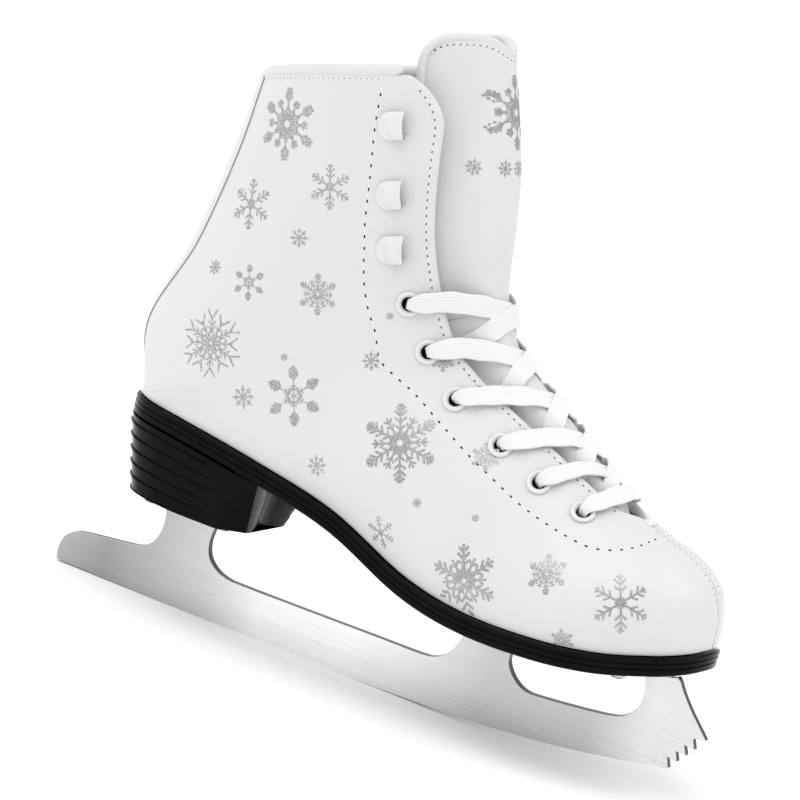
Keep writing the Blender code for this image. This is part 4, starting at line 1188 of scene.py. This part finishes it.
FOOTBED_TS, FOOTBED_IN, FOOTBED_UP, FOOTBED_THICK = (5.4, 16.2), 5.8, 4.6, 3.1


def make_footbed():
    """Foam insole with a cloth top, thinner along its edge and towards its ends."""
    first, last = FOOTBED_TS
    t = np.linspace(first, last, 80)
    column = np.linspace(-1, 1, 25)
    right, left = sole_rim(t, -1, -FOOTBED_IN), sole_rim(t, 1, -FOOTBED_IN)
    low = mix(right[:, None], left[:, None], (column[None, :, None] + 1) / 2)
    low[..., 2] += FOOTBED_UP - LAYER_GAP
    edge = np.abs(column[None, :]) ** 8
    end = clip01(np.minimum(t - first, last - t) / 0.5)[:, None]
    top = low.copy()
    top[..., 2] += FOOTBED_THICK * (1 - 0.55 * edge) * np.sqrt(mix(0.3, 1.0, end))
    piece(slab(Shape(), top, low), "foam_footbed", [FOAM], "footbed_foam", "footbed",
          sharp=50.0, fill=0.7)


# ------------------------ blade
FLAT_HALF = 15.0              # half the straight stretch under the foot
TAIL_RADIUS, TOE_RISE, TOE_START = 4500.0, 2.9e-6, 10.0


def running_edge(x):
    """Height of the blade's edge: flat under the foot, rising behind and ahead of it."""
    behind = np.maximum(-FLAT_HALF - x, 0.0) ** 2 / (2 * TAIL_RADIUS)
    return behind + np.where(x > FLAT_HALF, TOE_RISE * (x - TOE_START) ** 3, 0.0)


def plate_under(x):
    return float(sole_top(x)) - SOLE_THICK - PLATE_DROP


def make_blade():
    """Each run of the outline is a smooth curve; the runs meet at the blade's corners."""
    xs = np.linspace(-99.0, 174.0, 90)
    bottom = np.column_stack((xs, running_edge(xs)))
    picks = ((178.9, 13.1), (180.5, 13.6), (178.8, 17.9), (183.2, 17.3), (181.5, 21.4),
             (186.0, 20.9), (184.1, 24.9), (188.6, 24.3), (186.8, 28.5), (191.9, 29.3))
    heel_top = HEEL_BASE_Z - 2.6
    front = rounded(((191.7, 29.8), (187.4, 34.0), (182.7, 38.6), (178.0, 44.0), (174.3, 49.0),
                     (172.5, plate_under(172.5))))
    front_gap = rounded(((160.5, plate_under(160.5)), (162.2, 40.0), (162.0, 33.8), (160.0, 29.8),
                         (156.4, 26.9), (151.6, 25.3), (140.0, 23.6), (122.8, 21.8),
                         (114.8, 21.7), (108.9, 24.7), (104.9, 29.7), (104.4, 34.5),
                         (105.0, plate_under(105.0))))
    rear_gap = rounded(((84.5, plate_under(84.5)), (83.2, 35.0), (82.0, 30.4), (79.4, 25.0),
                        (74.3, 21.4), (67.5, 20.2), (49.0, 19.9), (18.0, 19.4), (-14.0, 19.1),
                        (-21.5, 19.3), (-27.5, 21.0), (-32.4, 25.0), (-34.3, 30.5),
                        (-33.8, 37.0), (-32.5, heel_top)))
    tail = rounded(((-58.5, heel_top), (-57.0, 37.0), (-56.2, 31.0), (-57.4, 25.2),
                    (-60.2, 21.2), (-64.5, 19.0), (-70.0, 18.0), (-80.0, 16.8), (-91.5, 15.2),
                    (-95.5, 13.6), (-98.4, 10.6), (-99.7, 5.8), (-99.2, 1.2)))
    outline = np.vstack((bottom, picks, front, front_gap, rear_gap, tail))
    count = len(outline)
    shape = Shape()
    points = [np.column_stack((outline[:, 0], np.full(count, y), outline[:, 1]))
              for y in (-BLADE_HALF, BLADE_HALF)]
    shape.add(np.vstack(points), [tuple(range(count)), tuple(range(2 * count - 1, count - 1, -1))])
    shape.faces += [(j, (j + 1) % count, count + (j + 1) % count, count + j)
                    for j in range(count)]
    shape.kinds += [1] * count
    obj = shape.build("steel_blade", [STEEL, STEEL_EDGE], sharp=30.0)
    bevel = obj.modifiers.new("broken_edges", "BEVEL")
    bevel.width = 0.25 * MM
    bevel.segments = 2
    bevel.limit_method = "ANGLE"
    bevel.angle_limit = math.radians(50)
    bevel.material = 0
    put(obj, "polished_steel", "blade")


# ------------------------ eyelets and hooks
def make_eyelets(word, side):
    """A rolled ring with its barrel; its dark inside sleeve is dark metal with painted shade, and
    the dark disc at its bottom is painted shade.
    """
    ring = [(4.15 + 0.85 * math.cos(a), 0.75 + 0.62 * math.sin(a))
            for a in np.linspace(-0.6, math.pi * 0.86, 14)]
    profile = [(3.3, -5.0), (3.3, 0.3), (5.0, 0.3)] + ring + [(2.8, 0.2), (2.7, -5.0)]
    # painted shade: the sleeve is dark metal darkened further, and the disc closes the barrel's
    # bottom
    sleeve = [(2.66, -4.9), (2.74, -0.2), (2.5, -0.3), (2.4, -4.9)]
    shade = [(0.01, -4.6), (2.6, -4.6), (2.6, -4.9), (0.01, -4.9)]
    for i in range(len(EYELETS)):
        shape = Shape()
        for loop, kind in ((profile, 0), (sleeve, 1), (shade, 1)):
            turned(shape, *eyelet_seat(i, side), loop, 44, kind)
        piece(shape, f"ring_eyelet_{word}_{i + 1}", [ENAMEL, PAINTED_SHADE], "white_enamel",
              f"eyelet_{word}_{i + 1}")


HOOK_HALF, HOOK_REACH = 5.8, 6.4           # half the width, and how far back the rear goes
HOOK_FRONT, FRONT_CURVE, FRONT_SLANT = 5.2, 0.6, 1.1
HOOK_BASE, HOOK_RISE, HOOK_LIP, HOOK_THICK = 0.9, 3.4, 1.3, 0.95
HOOK_TURNS = (20.0, 33.0, 33.0)            # degrees by which the front ends are raised
ROUND_END = 0.97                           # near 1: the rear is almost a half circle


def make_hooks(word, side):
    """A domed plate that leaves the leather at its round rear and flares at its front edge."""
    a = np.linspace(-1, 1, 25)[:, None]
    b = np.linspace(0, 1, 25)[None, :]
    arch = np.sqrt(1 - ROUND_END * a ** 2)
    rear = -HOOK_REACH * arch
    front = HOOK_FRONT - FRONT_CURVE * (1 - a ** 2) - FRONT_SLANT * a
    forward = mix(rear, front, b)
    up = HOOK_HALF * a * (1 - 0.06 * b * (1 - a))
    rise = smooth((forward + HOOK_REACH) / 7.0)
    sides = np.abs(a) ** 3 * (1 - 0.6 * smooth(b * 1.3 - 0.2))
    sides = np.where(a > 0, sides * (1 - smooth(b * 1.7 - 0.45)), sides)   # open below
    lip = HOOK_LIP * smooth((b - 0.84) / 0.16)
    height = HOOK_BASE + HOOK_RISE * rise * (1 - 0.7 * sides) + lip
    for i, (t, y) in enumerate(HOOKS):
        v = float(v_at_y(t, y))
        centre, facing = skin(t, v, side), outward(t, v, side)
        down = tangents(t, v, side)[0]
        ahead = np.cross(down, facing)
        ahead = ahead * math.copysign(1.0, ahead[0])
        turn = math.radians(HOOK_TURNS[i])
        ahead, down = (ahead * math.cos(turn) - down * math.sin(turn),
                       down * math.cos(turn) + ahead * math.sin(turn))

        def place(f, u, h):
            f, u, h = (part[..., None] for part in np.broadcast_arrays(f, u, h))
            return centre + ahead * f + down * u + facing * h
        shape = Shape()
        slab(shape, place(forward, up, height), place(forward, up * 0.94, height - HOOK_THICK))
        # painted shade: the dark filling stands in for the shade in the hook's mouth, under the
        # plate
        f, u, top = (part[12:, 8:22] for part in (forward, up * 0.97, height))   # dark filling
        slab(shape, place(f, u, top - 0.98), place(f, u, 0.6), 1)
        foot = (-5.0 * arch + 6.0 * b, 4.6 * a, 1.15, 0.1)
        stem = (-3.2 + 2.4 * b, 2.6 * a, 3.6, 0.6)
        for f, u, high, low in (foot, stem):
            slab(shape, place(f, u, high), place(f, u, low))
        piece(shape, f"speed_hook_{word}_{i + 1}", [ENAMEL, PAINTED_SHADE], "white_enamel",
              f"hook_{word}_{i + 1}", sharp=50.0)


# ------------------------ lace
HOLE_WIDTH = 4.4              # of the lace where it is bunched under an eyelet
BESIDE_TIP = 24.0             # from the top eyelet along the lining to the lace's tip


def section_arcs(t):
    """Distances along section t from the centre line, and the places v they belong to."""
    vs = np.linspace(1.0, 0.2, 40)
    points = skin(t, vs, 1.0)
    steps = np.linalg.norm(np.diff(points, axis=0), axis=1)
    return np.concatenate(((0.0,), np.cumsum(steps))), vs


def arc_of(t, v):
    arcs, vs = section_arcs(t)
    return float(np.interp(-v, -vs, arcs))


def lace_stop(t, arc, depth, width=LACE_WIDTH, thick=LACE_THICK):
    """Point, direction across the lace, width and thickness, at an arc from the centre line."""
    side = 1.0 if arc > 0 else -1.0
    v = float(np.interp(abs(arc), *section_arcs(t)))
    point = inset(t, v, side, depth, seam=0.0)
    return np.concatenate((point, tangents(t, v, side)[0], (width, thick)))


def eyelet_arc(k):
    t, y = EYELETS[k]
    return arc_of(t, float(v_at_y(t, y)))


def edge_arc(t):
    return arc_of(t, float(v_gap(np.array(t))))


def through_eyelet(k, side):
    """From under eyelet k, up through its hole and out over the facing."""
    t, arc = EYELETS[k][0], eyelet_arc(k)
    stops = ((0.0, 5.2, 4.0, 1.7), (0.0, 2.0, 4.0, 1.7), (0.0, -1.2, 4.2, 1.7),
             (1.4, -2.7, 5.4, 1.5), (5.0, -2.7, 7.9, 1.2))
    return [lace_stop(t, side * (arc - step), *rest) for step, *rest in stops]


def across_tongue(k, side):
    """From over eyelet k across the tongue, and under the far facing at eyelet k + 1."""
    t0, t1 = EYELETS[k][0], EYELETS[k + 1][0]
    crest = 3.7 if side > 0 else 2.0
    near_edge, far_edge, far_eyelet = edge_arc(t0), edge_arc(t1 + 0.3), eyelet_arc(k + 1)
    # share of the way down to the next eyelet, arc, depth
    stops = [(0.0, near_edge, -1.8), (0.13, near_edge * 0.5, -1.0 - crest * 0.5),
             (0.36, 0.01, -crest), (0.62, -far_edge * 0.42, -1.3), (0.84, -far_edge * 0.7, 1.8),
             (0.96, -far_edge * 0.9, 5.0), (1.0, -far_edge * 1.06, LACE_UNDER)]
    width = LACE_WIDTH if k + 2 < len(EYELETS) else 6.6       # narrower where the throat ends
    stops = [lace_stop(mix(t0, t1, f), side * arc, depth, width) for f, arc, depth in stops]
    return stops + [lace_stop(t1, -side * (far_eyelet - back), LACE_UNDER, narrow)
                    for back, narrow in ((3.0, 6.0), (0.9, HOLE_WIDTH))]


def lace_tail(side):
    """From under the top eyelet back along the lining, behind the facing."""
    t, arc = EYELETS[0][0], eyelet_arc(0)
    stops = [lace_stop(t, side * (arc + 0.8), LACE_UNDER, HOLE_WIDTH)]
    return stops + [lace_stop(t, side * (arc + out), LACE_UNDER) for out in (6, 12, 18, BESIDE_TIP)]


def zigzag(side):
    """From the top eyelet on one side down to the lowest pair, crossing at each eyelet."""
    stops = []
    for k in range(len(EYELETS) - 1):
        stops += through_eyelet(k, side) + across_tongue(k, side)
        side = -side
    return stops


def lace_path():
    """The whole lace: down one zigzag, over the lowest pair of eyelets and up the other."""
    last = len(EYELETS) - 1
    side = (-1) ** (last + 1)     # where the first zigzag arrives
    over = [lace_stop(EYELETS[last][0] + 0.05, side * arc, -2.8) for arc in (7.0, 0.01, -7.0)]
    stops = (lace_tail(-1)[::-1] + zigzag(-1) + through_eyelet(last, side) + over
             + through_eyelet(last, -side)[::-1] + zigzag(1)[::-1] + lace_tail(1))
    for i in range(1, len(stops)):           # the direction across never flips over
        if np.dot(stops[i][3:6], stops[i - 1][3:6]) < 0:
            stops[i][3:6] *= -1
    return np.array(stops)


RIBS, RIB_MEAN, RIB_HEIGHT = 7, 0.92, 0.15


def make_lace():
    """A flat ribbed cotton lace on the CAD's route, bunched where it goes through an eyelet."""
    rows, run = resample(lace_path(), 0.9)
    rows = relaxed(rows, 5)
    line, across = rows[:, :3], rows[:, 3:6]
    ahead = unit(np.gradient(line, axis=0))
    across = unit(across - ahead * np.sum(across * ahead, axis=1, keepdims=True))
    face = np.cross(ahead, across)
    a = np.linspace(-1, 1, 29)
    ribs = RIB_MEAN + RIB_HEIGHT * np.cos(RIBS * math.pi * a)
    half = ribs * np.sqrt(np.maximum(1 - a ** 8, 0.0)) + 0.04
    section_a = np.concatenate((a, a[::-1]))
    section_b = np.concatenate((half, -half[::-1]))
    width, thick = rows[:, 6][:, None, None] / 2, rows[:, 7][:, None, None] / 2
    wave = 1 + 0.03 * np.sin(run * 0.55)[:, None, None]
    rings = (line[:, None] + across[:, None] * section_a[None, :, None] * width * wave
             + face[:, None] * section_b[None, :, None] * thick)
    places = np.zeros((len(run), len(section_a), 3))
    places[..., 0] = run[:, None]
    places[..., 1] = section_a[None, :] * width[..., 0]
    shape = tube(Shape(), rings, 0, places.reshape(-1, 3))
    piece(shape, "ribbed_lace", [COTTON], "white_lace", "lace", sharp=70.0)


def make_aglets():
    """The hard tips of the lace, behind the facings."""
    profile = [(0.01, 0.0), (1.2, 0.0), (1.45, 0.6), (1.5, 2.0), (1.5, 14.0), (1.2, 15.4),
               (0.7, 16.0), (0.01, 16.0)]
    t, arc = EYELETS[0][0], eyelet_arc(0) + BESIDE_TIP + 0.3
    for word, side in SIDES.items():
        start = lace_stop(t, side * arc, 6.6)[:3]
        end = lace_stop(t, side * (arc + 16.0), 7.2)[:3]
        shape = turned(Shape(), start, end - start, profile, 20)
        piece(shape, f"lace_tip_{word}", [ENAMEL], "white_enamel", f"aglet_{word}")


# ------------------------ CAD pieces that stay
def finish_cad_pieces():
    """Hidden or plain metal pieces keep their CAD shape and get a worked finish."""
    kept = {"heel_plate": PLATE, "sole_plate": PLATE, "shank": PLATE, "insole_board": BOARD,
            "heel_counter": BOARD, "toe_puff": BOARD}
    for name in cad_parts:
        if "_screw_" in name:
            kept[name] = STEEL
    for name, mat in kept.items():
        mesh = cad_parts[name].data
        mesh.materials.clear()
        mesh.materials.append(mat)


# ------------------------ floor, light and camera
CAMERA_PLACE = (0.6910, -1.6410, 0.4418)
CAMERA_AIM = (0.028, 0.0, 0.1138)
CAMERA_ROLL = 16.2            # degrees: the ice falls away to the right in the picture
LENS, SENSOR = 202.5, 36.0
FLOOR_HALF = 30.0             # metres, so that its far edge is out of sight
SKY = 0.95
# each sun: where it shines from, its strength and its spread in degrees
SUNS = {"key": ((-0.5, -0.8, 1.5), 1.0, 60.0), "rim": ((0.9, 0.3, 1.1), 0.5, 40.0)}


def make_stage():
    mesh = bpy.data.meshes.new("floor")
    corners = [(x * FLOOR_HALF, y * FLOOR_HALF, 0) for x, y in ((-1, -1), (1, -1), (1, 1), (-1, 1))]
    mesh.from_pydata(corners, [], [(0, 1, 2, 3)])
    mesh.materials.append(floor_finish())
    floor = bpy.data.objects.new("floor", mesh)
    bpy.context.collection.objects.link(floor)
    world = bpy.data.worlds.new("studio")
    world.use_nodes = True
    sky = world.node_tree.nodes["Background"]
    sky.inputs["Color"].default_value = (1.0, 1.0, 1.0, 1.0)
    sky.inputs["Strength"].default_value = SKY
    bpy.context.scene.world = world
    for name, (direction, strength, spread) in SUNS.items():
        light = bpy.data.lights.new(name, "SUN")
        light.energy = strength
        light.angle = math.radians(spread)
        lamp = bpy.data.objects.new(name, light)
        lamp.rotation_euler = Vector(direction).to_track_quat("Z", "Y").to_euler()
        bpy.context.collection.objects.link(lamp)


def make_camera():
    data = bpy.data.cameras.new("camera")
    data.lens = LENS
    data.sensor_width = SENSOR
    data.clip_end = 100.0
    camera = bpy.data.objects.new("camera", data)
    look = (Vector(CAMERA_AIM) - Vector(CAMERA_PLACE)).normalized()
    level = look.cross(Vector((0, 0, 1))).normalized()
    upright = level.cross(look)
    roll = math.radians(CAMERA_ROLL)
    right = level * math.cos(roll) + upright * math.sin(roll)
    up = upright * math.cos(roll) - level * math.sin(roll)
    turn = Matrix((right, up, -look)).transposed().to_4x4()
    camera.matrix_world = Matrix.Translation(CAMERA_PLACE) @ turn
    bpy.context.collection.objects.link(camera)
    bpy.context.scene.camera = camera
    bpy.context.scene.view_settings.view_transform = "Standard"


def make_skate():
    for word, side in SIDES.items():
        for make in (make_quarter, make_lining, make_stitches, make_snowflakes, make_eyelets,
                     make_hooks):
            make(word, side)
    make_backstay()
    make_collar()
    make_tongue()
    make_tongue_lining()
    make_tongue_binding()
    make_tongue_stitches()
    make_tongue_flakes()
    make_bar_tack()
    make_outsole()
    make_heel()
    make_footbed()
    make_blade()
    make_lace()
    make_aglets()
    finish_cad_pieces()


make_skate()
make_stage()
make_camera()
